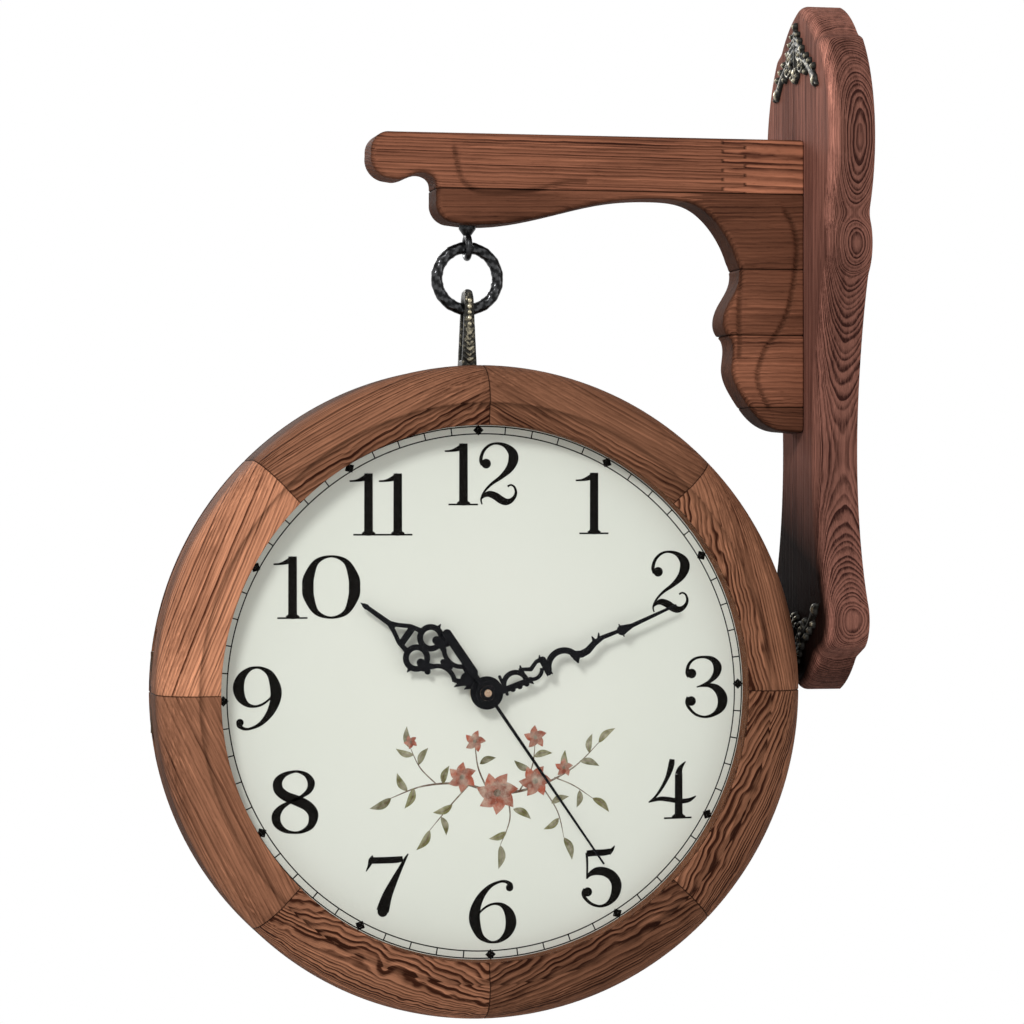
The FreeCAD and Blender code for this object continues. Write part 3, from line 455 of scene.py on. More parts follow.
def engraved_gunmetal(name):
    plating = settings().metal.gunmetal
    look = Finish(name)
    worn = look.noise(look.place(), 700.0, 3.0, 0.6)
    rub = look.span(look.attribute("relief", "Fac") + look.span(worn, 0.3, 0.7, -0.25, 0.25), 0.30, 0.85)
    shade = look.mix(rub, scaled(plating, 0.2), scaled(plating, 1.15))
    return look.surface(Base_Color=shade, Metallic=0.92, Roughness=look.span(rub, 0.0, 1.0, 0.34, 0.13))


def mottled(name, first, second, noise, rough, bump=(), **inputs):
    """Two shades mingled by fine noise, which sets the gloss and the texture too."""
    look = Finish(name)
    speck = look.noise(look.place(), *noise)
    if bump:
        inputs["Normal"] = look.bump(speck, *bump)
    return look.surface(Base_Color=look.mix(look.span(speck, 0.3, 0.7), first, second),
                        Roughness=look.span(speck, 0.3, 0.7, *rough), **inputs)


def plain_metal(name, shade, rough):
    # turned or rolled metal with fine marks
    return mottled(name, scaled(shade, 0.72), shade, ((900.0, 220.0, 900.0), 3.0, 0.6),
                   (rough + 0.08, rough - 0.04), (0.02 * MM, 0.4), Metallic=1.0)


def steel(name):
    return plain_metal(name, (0.52, 0.52, 0.51), 0.34)


def hinge_brass(name):
    # browned, so that the knuckles stay quiet between the darkened edges
    return plain_metal(name, (0.070, 0.042, 0.026), 0.46)


def arbor_brass(name):
    return plain_metal(name, (0.60, 0.42, 0.18), 0.26)


def copper_cap(name):
    return plain_metal(name, settings().metal.copper, 0.24)


def hand_black(name):
    enamel = settings().metal.enamel
    return mottled(name, enamel, scaled(enamel, 1.9), (900.0, 2.0), (0.30, 0.42), (0.03 * MM, 0.4),
                   Specular_IOR_Level=0.06)


def movement_plastic(name):
    return mottled(name, (0.016, 0.016, 0.017), (0.030, 0.030, 0.031), (1600.0, 2.0, 0.6), (0.52, 0.64),
                   (0.05 * MM, 0.6))


def battery_can(name):
    # dark can with a pale band at either end
    look = Finish(name)
    place = look.place()
    band = abs(look.parts(place)[0] - CLOCK.x) > 12.5 * MM
    scuff = look.noise(place, 600.0, 3.0, 0.6)
    shade = look.mix(band, (0.020, 0.024, 0.032), (0.42, 0.30, 0.14))
    shade = look.mix(look.span(scuff, 0.35, 0.7, 0.0, 0.35), shade, (0.10, 0.10, 0.10))
    return look.surface(Base_Color=shade, Metallic=0.55, Roughness=look.span(scuff, 0.3, 0.7, 0.28, 0.42))


def dial_paper(name):
    """Pale cream paper, a little greyer and greener towards its rim, on bare brown hardboard."""
    paper = settings().dial.paper
    look = Finish(name)
    place = look.place()
    out = look.vector("DISTANCE", look.vector("MULTIPLY", place, (1.0, 0.0, 1.0)), (CLOCK.x, 0.0, CLOCK.z))
    tooth = look.noise(place, 1400.0, 3.0, 0.6)
    cloud = look.noise(place, 9.0)
    rim = tuple(part * tint for part, tint in zip(paper, (0.90, 0.92, 0.92)))
    shade = look.mix(look.span(out, 0.06, 0.166) * 0.65, paper, rim)
    shade = look.mix(look.span(cloud, 0.3, 0.7, 0.0, 0.35), shade, (0.85, 0.85, 0.79))
    shade = look.mix(look.span(tooth, 0.35, 0.65, 0.0, 0.05), shade, (0.5, 0.5, 0.44))
    # behind the paper
    bare = abs(look.parts(place)[1]) < DIAL_FACE - 0.4 * MM
    board = look.mix(look.span(tooth, 0.3, 0.7), (0.150, 0.078, 0.040), (0.260, 0.150, 0.085))
    shade = look.mix(bare, shade, board)
    return look.surface(Base_Color=shade, Roughness=look.span(tooth, 0.3, 0.7, 0.58, 0.70),
                        Normal=look.bump(tooth, 0.015 * MM, 0.3), Specular_IOR_Level=0.3)


def dial_ink(name):
    ink = settings().dial.ink
    return mottled(name, ink, scaled(ink, 2.1), (800.0, 3.0, 0.6), (0.50, 0.62), Specular_IOR_Level=0.02)


def sprig_print(name):
    """Washed print of the sprig: each leaf and petal has its own tint and paler washes."""
    look = Finish(name)
    place = look.place()
    wash = look.noise(place, 150.0, 4.0, 0.62)
    grain = look.noise(place, 900.0, 3.0, 0.6)
    tint = look.attribute("tint", "Color")
    shade = look.mix(look.span(wash, 0.40, 0.74, 0.0, 0.55), tint, (0.74, 0.70, 0.56))
    shade = look.mix(look.span(grain, 0.45, 0.75, 0.0, 0.30), shade, (0.10, 0.07, 0.05))
    return look.surface(Base_Color=shade, Roughness=look.span(grain, 0.3, 0.7, 0.55, 0.66))


def clear_glass(name):
    """Flat glass, clear to look through and glossy at a slant."""
    look = Finish(name)
    normal = look.bump(look.noise(look.place(), 14.0, 1.0, 0.4), 0.10 * MM, 0.25)
    clear = look.value("BsdfTransparent", {"Color": (0.99, 0.994, 0.99, 1.0)})
    gloss = look.value("BsdfGlossy", {"Color": (1.0, 1.0, 1.0, 1.0), "Roughness": 0.03, "Normal": normal})
    slant = look.value("LayerWeight", {"Blend": 0.5, "Normal": normal}, "Facing")
    amount = look.math("POWER", slant, 5.0) * 0.6 + 0.0015
    look.show(look.value("MixShader", {0: amount, 1: clear, 2: gloss}))
    return look.material


def pale_floor(name):
    return mottled(name, (0.84, 0.84, 0.83), (0.88, 0.88, 0.87), (60.0, 3.0, 0.6), (0.8, 0.8))


# Meshes

# field that holds each kind of value in a mesh
FIELDS = {"FLOAT_VECTOR": "vector", "FLOAT_COLOR": "color", "FLOAT": "value"}


def write(mesh, name, kind, parts):
    # values at the points of a mesh, part after part in one list
    layer = mesh.attributes.new(name, kind, "POINT")
    layer.data.foreach_set(FIELDS[kind], parts)


def new_piece(name, points, faces, material, body, smooth=True):
    mesh = bpy.data.meshes.new(name)
    mesh.from_pydata([tuple(point) for point in points], [], faces)
    mesh.update()
    return add_piece(name, mesh, material, body, smooth)


def add_piece(name, mesh, material, body, smooth=True):
    mesh.materials.clear()
    mesh.materials.append(material)
    mesh.polygons.foreach_set("use_smooth", [smooth] * len(mesh.polygons))
    piece = bpy.data.objects.new(name, mesh)
    bpy.context.scene.collection.objects.link(piece)
    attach(piece, body)
    return piece


def remeshed(mesh, voxel, onto=None):
    # one closed skin over all the solids in the mesh, laid back on a solid where one is given
    helper = bpy.data.objects.new("skin", mesh)
    bpy.context.scene.collection.objects.link(helper)
    skin = helper.modifiers.new("skin", "REMESH")
    skin.mode = "VOXEL"
    skin.voxel_size = voxel
    smooth = helper.modifiers.new("smooth", "SMOOTH")
    smooth.factor = 0.5
    smooth.iterations = 2
    if onto:
        wrap = helper.modifiers.new("wrap", "SHRINKWRAP")
        wrap.target = onto
    graph = bpy.context.evaluated_depsgraph_get()
    result = bpy.data.meshes.new_from_object(helper.evaluated_get(graph))
    bpy.data.objects.remove(helper)
    return result


def smooth_path(points, closed, steps):
    # Catmull-Rom curve through points of any length
    count = len(points)
    path = []
    for index in range(count if closed else count - 1):
        near = []
        for step in (-1, 0, 1, 2):
            place = (index + step) % count if closed else min(max(index + step, 0), count - 1)
            near.append(points[place])
        for part in range(steps):
            t = part / steps
            path.append([0.5 * (2 * b + (c - a) * t + (2 * a - 5 * b + 4 * c - d) * t * t
                                + (3 * b - a - 3 * c + d) * t ** 3) for a, b, c, d in zip(*near)])
    if not closed:
        path.append(list(points[-1]))
    return path


def grid_faces(columns, rows, around=True, across=True, flip=False):
    # quads over columns of points; around joins the last column to the first, across does it with rows
    faces = []
    for column in range(columns if around else columns - 1):
        here, other = column * rows, (column + 1) % columns * rows
        for row in range(rows if across else rows - 1):
            after = (row + 1) % rows
            face = (here + row, here + after, other + after, other + row)
            faces.append((face[0], face[3], face[2], face[1]) if flip else face)
    return faces


def strip_mesh(path, closed):
    # flat strip of (u, v, width) as points and quads
    count = len(path)
    points = []
    for index, (u, v, width) in enumerate(path):
        before = path[index - 1] if closed or index > 0 else path[index]
        after = path[(index + 1) % count] if closed or index < count - 1 else path[index]
        run = Vector((after[0] - before[0], after[1] - before[1])).normalized()
        points.append((u - run.y * width / 2, v + run.x * width / 2))
        points.append((u + run.y * width / 2, v - run.x * width / 2))
    return points, grid_faces(count, 2, around=closed, across=False)


def disc_mesh(u, v, radius, sides=24):
    angles = [2 * math.pi * side / sides for side in range(sides)]
    points = [(u + radius * math.cos(angle), v + radius * math.sin(angle)) for angle in angles]
    return points, [tuple(range(sides))]


class FlatPrint:
    """Flat shapes gathered on one dial, each a hair higher than the last, so none flickers."""

    def __init__(self, side, lift=0.05 * MM, rise=0.0008 * MM):
        self.side = side
        self.lift = lift
        self.rise = rise
        self.points = []
        self.faces = []
        self.tints = []

    def add(self, shape, tint=(0.0, 0.0, 0.0)):
        points, faces = shape
        start = len(self.points)
        for u, v in points:
            self.points.append(CLOCK + Vector((self.side * u, -self.side * (DIAL_FACE + self.lift), v)))
            self.tints += (*tint, 1.0)
        self.faces.extend(tuple(start + corner for corner in face) for face in faces)
        self.lift += self.rise

    def make(self, name, material, body):
        piece = new_piece(name, self.points, self.faces, material, body, smooth=False)
        write(piece.data, "tint", "FLOAT_COLOR", self.tints)


# Case rings: eight segments each, turned to one moulding, every board with its own grain

# pith out from the board and behind its face, ring spacing, slant, tone, contrast and play on the face,
# contrast and play on the bevel
CASE_BOARDS = (
    (-130.0, -18.0, 2.4, 6.0, 0.68, 0.42, 0.08, 0.7, 0.25),
    (-95.0, 60.0, 2.3, 9.0, 0.94, 0.58, 0.10, 1.30, 0.45),
    (48.0, -62.0, 2.0, 5.0, 0.82, 1.35, 0.36, 1.35, 0.40),
    (60.0, -66.0, 2.2, -3.0, 0.58, 0.95, 0.22, 1.2, 0.45),
    (45.0, -62.0, 2.2, 0.0, 0.98, 1.55, 0.66, 1.5, 0.60),
    (-170.0, 30.0, 2.5, -4.0, 0.93, 0.45, 0.06, 0.45, 0.08),
    (-140.0, 45.0, 2.2, 0.0, 1.85, 0.72, 0.05, 0.70, 0.10),
    (-120.0, 95.0, 2.0, -7.0, 0.84, 0.72, 0.06, 1.35, 0.50),
)
# where the boards lie: in from the rim and ahead of the clock's middle, in millimetres
BOARD_INSET = 16.0
BOARD_AHEAD = 30.0
# each board comes from another length of tree
BOARD_SHIFT = 1.7
SEGMENT_STEPS = 28
OVOLO_STEPS = 14
# the moulding, in millimetres: foot and crest of the ovolo ahead of the clock's middle,
# then how far in from the rim its crest and its lip are
CASE_BAND = 20.0
CASE_HALF = 47.0
CREST_INSET = 22.9
LIP_INSET = 37.2
OVOLO_FULLNESS = 0.71
SEAM_CHAMFER = 1.5
REBATE = 4.3
# bevel, lip and rebate: out from the lip, ahead of the clock's middle
LIP_POINTS = ((9.0, 45.1), (4.4, 44.35), (0.6, 43.7), (0.0, 43.3), (0.0, 42.6), (REBATE, 42.6))
FRONT_SEAM = -13.8
REAR_SEAM = 14.2
JOINT_SINK = 0.5
# how much of its tone the wood keeps on the outer edge, and in the quirk under the crest, where it is
# painted shade
EDGE_DARKENING = [0.4, 0.4, 0.4, 0.42, 0.68, 0.88, 0.96]
QUIRK_PAINTED_SHADE = [0.85, 0.62]
# bevel on both rings at nine o'clock, so that the halves can swing on the hinge
HINGE_BEVEL = 7.5
HINGE_BEVEL_HALF = 34.0
HINGE_BEVEL_FADE = 6.0


def ring_profile(seam):
    # radius and distance in front of the clock's middle, from the seam round to the rebate
    outer = CASE_RADIUS / MM
    crest, lip = outer - CREST_INSET, outer - LIP_INSET
    start, end = Vector((outer, CASE_BAND)), Vector((crest, CASE_HALF))
    full = Vector((crest + OVOLO_FULLNESS * CREST_INSET,
                   CASE_BAND + OVOLO_FULLNESS * (CASE_HALF - CASE_BAND)))
    bend = 2 * full - (start + end) / 2
    profile = [(outer - SEAM_CHAMFER, seam), (outer, seam + SEAM_CHAMFER),
               (outer, min(seam + HINGE_BEVEL, (seam + CASE_BAND) / 2))]
    for step in range(OVOLO_STEPS + 1):
        t = step / OVOLO_STEPS
        point = start * (1 - t) ** 2 + bend * 2 * t * (1 - t) + end * t ** 2
        profile.append((point.x, point.y))
    profile += [(crest - 0.6, CASE_HALF - 0.05), (crest - 1.2, CASE_HALF - 1.2)]
    profile += [(lip + out, ahead) for out, ahead in LIP_POINTS]
    return profile + [(lip + REBATE, seam)]


def clock_point(radius, angle, ahead, side):
    # angle runs clockwise from twelve o'clock for whoever faces that side
    return CLOCK + Vector((side * radius * math.sin(angle), -side * ahead, radius * math.cos(angle))) * MM


def hinge_room(height, above_seam):
    # greatest radius that the bevel over the hinge leaves
    share = (HINGE_BEVEL_HALF + HINGE_BEVEL_FADE - abs(height)) / HINGE_BEVEL_FADE
    return CASE_RADIUS / MM - HINGE_BEVEL * min(1.0, max(0.0, share)) + above_seam


def case_ring(name, node, body, side, seam, boards):
    profile = ring_profile(seam)
    rows = len(profile)
    outer = CASE_RADIUS / MM
    crest = OVOLO_STEPS + 3
    darkening_and_painted_shade = [1.0] * rows
    darkening_and_painted_shade[:len(EDGE_DARKENING)] = EDGE_DARKENING
    # painted shade in the quirk under the crest
    darkening_and_painted_shade[crest + 1:crest + 3] = QUIRK_PAINTED_SHADE
    turn = math.pi / 4
    edge = settings().wood.joint_width / 2 / CASE_RADIUS
    angles = [turn * step / SEGMENT_STEPS for step in range(1, SEGMENT_STEPS)]
    angles = [0.0, edge, *angles, turn - edge, turn]
    points, faces, grains, values = [], [], [], []
    for index, (out, behind, spacing, slant, tone, contrast, play, bevel, flame) in enumerate(boards):
        middle = (index + 0.5) * turn
        lean = math.tan(math.radians(slant))
        start = len(points)
        for place, angle in enumerate(angles):
            here = index * turn + angle
            sunk = place in (0, len(angles) - 1)
            for spot, (radius, ahead) in enumerate(profile):
                if sunk and 2 <= spot <= rows - 4:
                    radius -= JOINT_SINK if spot < rows - 9 else 0.0
                    ahead -= JOINT_SINK
                if spot < OVOLO_STEPS and side * math.sin(here) < 0.0:
                    radius = min(radius, hinge_room(radius * math.cos(here), ahead - seam))
                points.append(clock_point(radius, here, ahead, side))
                along = radius * math.sin(here - middle)
                across = radius * math.cos(here - middle) - outer + BOARD_INSET
                grains += (along * MM + BOARD_SHIFT * index, (across + lean * along - out) / spacing * MM,
                           (ahead - BOARD_AHEAD - behind) / spacing * MM)
                inside = spot > crest + 2
                values += (tone * darkening_and_painted_shade[spot], bevel if inside else contrast, 1.0 if sunk else 0.0,
                           flame if inside else play)
        faces += [tuple(start + corner for corner in face)
                  for face in grid_faces(len(angles), rows, around=False)]
    piece = new_piece(name, points, faces, finish(case_wood), body)
    write(piece.data, "grain", "FLOAT_VECTOR", grains)
    write(piece.data, "board", "FLOAT_COLOR", values)
    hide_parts(node)


class CLOCK_OT_case_rings(bpy.types.Operator):
    """Turn the two moulded rings of the case, each from eight boards"""
    bl_idname = "bracket_clock.case_rings"
    bl_label = "Case Rings"

    def execute(self, context):
        case_ring("case_ring_front", "front_ring", "clock", 1.0, FRONT_SEAM, CASE_BOARDS)
        case_ring("case_ring_rear", "rear_ring", "rear_case", -1.0, REAR_SEAM,
                  CASE_BOARDS[3:] + CASE_BOARDS[:3])
        for side, body, turn in SIDES:
            dress(side + "_liner", liner_wood)
        return {"FINISHED"}


# Wall plate

class CLOCK_OT_wall_plate(bpy.types.Operator):
    """Give the wall plate its scorched grain, with ovals on the swells of its edge"""
    bl_idname = "bracket_clock.wall_plate"
    bl_label = "Wall Plate"

    def execute(self, context):
        dress("wall_plate", plate_wood)
        return {"FINISHED"}


# Dial print: numerals, minute track and sprig

# Numerals as strokes of (across, up, width) and dots of (across, up, radius), in shares of their height
NUMERAL_SHARES = {
    "0": {
        "wide": 0.87,
        "loops": (
            ((0.435, 0.985, 0.03), (0.2, 0.9, 0.075), (0.078, 0.66, 0.145), (0.062, 0.5, 0.155),
             (0.078, 0.34, 0.145), (0.2, 0.1, 0.075), (0.435, 0.015, 0.03), (0.67, 0.1, 0.075),
             (0.792, 0.34, 0.145), (0.808, 0.5, 0.155), (0.792, 0.66, 0.145), (0.67, 0.9, 0.075)),
        ),
    },
    "1": {
        "wide": 0.54,
        "lines": (
            ((0.303, 0.985, 0.115), (0.303, 0.06, 0.118)),
            ((0, 0.862, 0.022), (0.1, 0.868, 0.03), (0.2, 0.895, 0.06), (0.31, 0.945, 0.09)),
            ((0.06, 0.012, 0.022), (0.54, 0.012, 0.022)),
            ((0.2, 0.022, 0.03), (0.303, 0.045, 0.085), (0.41, 0.022, 0.03)),
        ),
    },
    "2": {
        "wide": 0.62,
        "lines": (
            ((0.05, 0.64, 0.045), (0.026, 0.73, 0.048), (0.065, 0.86, 0.042), (0.16, 0.955, 0.036),
             (0.28, 0.988, 0.032), (0.42, 0.955, 0.06), (0.535, 0.85, 0.12), (0.555, 0.73, 0.138),
             (0.495, 0.59, 0.105), (0.36, 0.455, 0.06), (0.2, 0.34, 0.038), (0.085, 0.22, 0.028),
             (0.03, 0.1, 0.024), (0.045, 0.015, 0.018)),
            ((0.022, 0.095, 0.018), (0.085, 0.155, 0.05), (0.165, 0.18, 0.085), (0.265, 0.145, 0.102),
             (0.355, 0.085, 0.104), (0.435, 0.055, 0.092), (0.515, 0.075, 0.066), (0.578, 0.14, 0.046),
             (0.598, 0.215, 0.036), (0.57, 0.295, 0.028), (0.515, 0.325, 0.024), (0.462, 0.3, 0.026)),
        ),
        "dots": ((0.112, 0.665, 0.078),),
    },
    "3": {
        "wide": 0.69,
        "lines": (
            ((0.06, 0.665, 0.05), (0.03, 0.74, 0.05), (0.06, 0.87, 0.042), (0.16, 0.96, 0.036),
             (0.31, 0.985, 0.036), (0.455, 0.945, 0.075), (0.535, 0.835, 0.118), (0.515, 0.71, 0.098),
             (0.42, 0.6, 0.055), (0.3, 0.535, 0.034), (0.19, 0.5, 0.018)),
            ((0.25, 0.515, 0.026), (0.4, 0.525, 0.06), (0.535, 0.465, 0.11), (0.618, 0.33, 0.14),
             (0.6, 0.18, 0.12), (0.49, 0.065, 0.06), (0.33, 0.016, 0.034), (0.17, 0.06, 0.036),
             (0.06, 0.17, 0.042), (0.026, 0.26, 0.048), (0.05, 0.34, 0.05)),
        ),
        "dots": ((0.105, 0.72, 0.078), (0.098, 0.275, 0.078),),
    },
    "4": {
        "wide": 0.8,
        "lines": (
            ((0.4, 0.965, 0.07), (0.392, 0.9, 0.084), (0.368, 0.8, 0.078), (0.315, 0.66, 0.056),
             (0.22, 0.49, 0.042), (0.12, 0.36, 0.032), (0.015, 0.275, 0.02)),
            ((0.01, 0.275, 0.016), (0.1, 0.305, 0.036), (0.2, 0.33, 0.058), (0.34, 0.318, 0.066),
             (0.48, 0.292, 0.066), (0.6, 0.288, 0.066), (0.7, 0.308, 0.052), (0.798, 0.365, 0.016)),
            ((0.51, 0.72, 0.106), (0.51, 0.06, 0.11)),
            ((0.625, 0.925, 0.014), (0.575, 0.87, 0.042), (0.528, 0.8, 0.075), (0.51, 0.72, 0.104)),
            ((0.265, 0.014, 0.024), (0.725, 0.02, 0.024)),
            ((0.4, 0.026, 0.03), (0.51, 0.055, 0.085), (0.62, 0.028, 0.03)),
        ),
    },
    "5": {
        "wide": 0.64,
        "lines": (
            ((0.085, 0.865, 0.085), (0.2, 0.875, 0.088), (0.36, 0.878, 0.088), (0.47, 0.895, 0.08)),
            ((0.44, 0.875, 0.085), (0.5, 0.92, 0.05), (0.545, 0.985, 0.012)),
            ((0.082, 0.88, 0.034), (0.092, 0.7, 0.03), (0.088, 0.46, 0.026)),
            ((0.085, 0.465, 0.016), (0.14, 0.535, 0.062), (0.25, 0.58, 0.108), (0.38, 0.568, 0.122),
             (0.505, 0.495, 0.135), (0.575, 0.36, 0.142), (0.545, 0.19, 0.118), (0.445, 0.065, 0.062),
             (0.31, 0.016, 0.036), (0.165, 0.055, 0.04), (0.058, 0.15, 0.046), (0.026, 0.23, 0.05),
             (0.052, 0.3, 0.045)),
        ),
        "dots": ((0.098, 0.25, 0.074),),
    },
    "6": {
        "wide": 0.75,
        "lines": (
            ((0.665, 0.87, 0.06), (0.655, 0.935, 0.062), (0.57, 0.985, 0.04), (0.46, 0.975, 0.036),
             (0.31, 0.9, 0.058), (0.17, 0.74, 0.1), (0.085, 0.54, 0.14), (0.078, 0.35, 0.15),
             (0.155, 0.14, 0.098), (0.27, 0.045, 0.052), (0.38, 0.018, 0.032), (0.5, 0.05, 0.058),
             (0.615, 0.16, 0.112), (0.668, 0.32, 0.15), (0.635, 0.48, 0.128), (0.54, 0.595, 0.07),
             (0.42, 0.632, 0.036), (0.3, 0.605, 0.032), (0.19, 0.53, 0.028), (0.125, 0.45, 0.02)),
        ),
        "dots": ((0.645, 0.885, 0.06),),
    },
    "7": {
        "wide": 0.69,
        "lines": (
            ((0.09, 0.895, 0.088), (0.3, 0.895, 0.088), (0.5, 0.9, 0.088), (0.6, 0.915, 0.07)),
            ((0.112, 0.975, 0.014), (0.088, 0.9, 0.07), (0.055, 0.81, 0.04), (0.008, 0.725, 0.012)),
            ((0.685, 0.99, 0.018), (0.63, 0.9, 0.04), (0.555, 0.755, 0.06), (0.455, 0.56, 0.095),
             (0.36, 0.36, 0.13), (0.305, 0.2, 0.158), (0.275, 0.088, 0.172)),
        ),
        "dots": ((0.275, 0.08, 0.084),),
    },
    "8": {
        "wide": 0.735,
        "loops": (
            ((0.36, 0.982, 0.034), (0.2, 0.935, 0.066), (0.098, 0.83, 0.118), (0.105, 0.7, 0.132),
             (0.22, 0.595, 0.132), (0.4, 0.52, 0.14), (0.57, 0.43, 0.14), (0.658, 0.3, 0.138),
             (0.625, 0.135, 0.098), (0.5, 0.04, 0.052), (0.36, 0.017, 0.034), (0.2, 0.055, 0.062),
             (0.085, 0.165, 0.108), (0.07, 0.3, 0.118), (0.155, 0.42, 0.076), (0.3, 0.505, 0.042),
             (0.47, 0.585, 0.046), (0.59, 0.68, 0.078), (0.625, 0.8, 0.1), (0.565, 0.91, 0.072),
             (0.47, 0.965, 0.046)),
        ),
    },
}

# Middles of the numerals, right and up from the dial's middle, in millimetres
NUMERAL_PLACES = {
    "1": (67.9, 116.5), "2": (117.6, 67.4), "3": (140.7, 1.9), "4": (118.9, -60.7), "5": (73.6, -114.5),
    "6": (5.4, -135.2), "7": (-60.7, -117.2), "8": (-117.4, -65.5), "9": (-140.7, -2.0),
    "10": (-104.5, 65.2), "11": (-64.4, 115.8), "12": (-2.1, 134.3),
}
# gap between the two digits, as a share of their height
DIGIT_SPACE_SHARES = {"10": -0.055, "11": -0.07, "12": 0.02}


def digit_shapes(digit):
    """Flat shapes of one digit and its width, in shares of its height; nine is six turned over."""
    glyph = NUMERAL_SHARES["6" if digit == "9" else digit]
    weight = settings().dial.numeral_weight
    shapes = []
    for kind, closed in (("lines", False), ("loops", True)):
        for path in glyph.get(kind, ()):
            strokes = [(u, v, weight * wide) for u, v, wide in path]
            shapes.append(strip_mesh(smooth_path(strokes, closed, CURVE_STEPS), closed))
    shapes += [disc_mesh(*dot) for dot in glyph.get("dots", ())]
    if digit == "9":
        shapes = [([(glyph["wide"] - u, 1.0 - v) for u, v in points], faces) for points, faces in shapes]
    return shapes, glyph["wide"]


def print_numeral(sheet, number, place, height):
    digits = [digit_shapes(digit) for digit in number]
    space = DIGIT_SPACE_SHARES.get(number, 0.0)
    across, up = place[0] * MM, place[1] * MM
    start = -(sum(wide for shapes, wide in digits) + space) / 2
    for shapes, wide in digits:
        for points, faces in shapes:
            moved = [(across + (start + u) * height, up + (v - 0.5) * height) for u, v in points]
            sheet.add((moved, faces))
        start += wide + space


TRACK_STEPS = 240
DIAMOND = 3.3 * MM


def print_track(sheet):
    dial = settings().dial
    sides = (dial.track_inner, dial.track_outer)
    for radius in sides:
        angles = [2 * math.pi * step / TRACK_STEPS for step in range(TRACK_STEPS)]
        path = [(radius * math.sin(angle), radius * math.cos(angle), dial.track_line) for angle in angles]
        sheet.add(strip_mesh(path, True))
    for minute in range(60):
        angle = math.radians(6 * minute) + dial.turn
        out = Vector((math.sin(angle), math.cos(angle)))
        if minute % 5:
            sheet.add(strip_mesh([(*(out * radius), dial.track_line) for radius in sides], False))
        else:
            middle = out * (dial.track_inner + dial.track_outer) / 2
            long, wide = out * DIAMOND, Vector((out.y, -out.x)) * DIAMOND
            corners = [middle + long, middle + wide, middle - long, middle - wide]
            sheet.add(([tuple(corner) for corner in corners], [(0, 1, 2, 3)]))


# Sprig on the dial: places in millimetres from the dial's middle
TERRACOTTA = (0.36, 0.075, 0.036)
OLIVE = (0.125, 0.120, 0.030)
UMBER = (0.085, 0.036, 0.016)
SPRIG_STEMS = (
    ((-58, -64, 0.5), (-38, -57, 1.0), (-14, -56, 1.5), (10, -62, 1.8), (34, -58, 1.4),
     (56, -47, 0.9), (72, -32, 0.4)),
    ((-30, -56, 0.8), (-40, -46, 0.7), (-46, -34, 0.4)),
    ((2, -60, 1.1), (-4, -46, 0.9), (-6, -30, 0.5)),
    ((22, -61, 1.0), (30, -46, 0.8), (32, -28, 0.4)),
    ((44, -53, 0.8), (56, -58, 0.7), (68, -66, 0.4)),
    ((-10, -57, 0.9), (-22, -70, 0.8), (-34, -84, 0.4)),
    ((14, -62, 1.0), (16, -78, 0.8), (10, -94, 0.4)),
    ((36, -58, 0.9), (46, -74, 0.7), (50, -90, 0.4)),
)
# place, direction in degrees, length, breadth share
SPRIG_LEAVES = (
    (-58, -64, 205, 15, 0.34), (-48, -60, 120, 13, 0.36), (-44, -58, 245, 14, 0.34),
    (-41, -44, 60, 12, 0.36), (-44, -38, 160, 12, 0.34), (-46, -34, 100, 14, 0.32),
    (-26, -56, 70, 12, 0.36), (-20, -69, 200, 13, 0.36), (-27, -76, 285, 12, 0.34),
    (-34, -84, 235, 15, 0.32), (-3, -44, 20, 11, 0.38), (18, -72, 330, 13, 0.36),
    (14, -86, 200, 12, 0.36), (10, -94, 265, 15, 0.32), (31, -40, 10, 12, 0.36),
    (29, -48, 150, 12, 0.36), (42, -69, 20, 12, 0.36), (47, -78, 215, 12, 0.34),
    (50, -90, 290, 15, 0.32), (52, -49, 95, 13, 0.34), (60, -43, 345, 13, 0.34),
    (66, -38, 80, 12, 0.34), (72, -32, 40, 14, 0.30), (60, -61, 260, 11, 0.36),
    (68, -66, 320, 14, 0.32),
)
# place and radius of a blossom, number of petals, turn in degrees
SPRIG_BLOSSOMS = (
    (8, -62, 13.5, 7, 10), (-14, -52, 9.5, 6, 25), (32, -55, 10.5, 6, 0), (-6, -30, 7.0, 5, 0),
    (32, -28, 7.5, 5, 20), (-46, -30, 4.5, 5, 40), (50, -47, 6.0, 5, 12),
)
LEAF_STEPS = 8
LEAF_BOW = 0.10
# vein of a leaf: share of the leaf's length, breadth share, and turn against the leaf in degrees
VEIN_LENGTH = 0.86
VEIN_BREADTH = 0.06
VEIN_TURN = 4
# blossoms: breadth share of a petal, and the heart's share of the radius
PETAL_BREADTH = 0.62
HEART_SHARE = 0.17
CURVE_STEPS = 8


def leaf_mesh(u, v, direction, length, share):
    # pointed leaf with its widest part before the middle
    run = Vector((math.cos(math.radians(direction)), math.sin(math.radians(direction))))
    side = Vector((-run.y, run.x))
    root = Vector((u, v)) * MM
    points = []
    for step in range(LEAF_STEPS + 1):
        t = step / LEAF_STEPS
        half = length * share * math.sin(math.pi * t ** 0.8) / 2
        bow = LEAF_BOW * length * math.sin(math.pi * t)
        middle = root + run * (length * t * MM) + side * (bow * MM)
        points.append(tuple(middle + side * (half * MM)))
        points.append(tuple(middle - side * (half * MM)))
    return points, grid_faces(LEAF_STEPS + 1, 2, around=False, across=False)


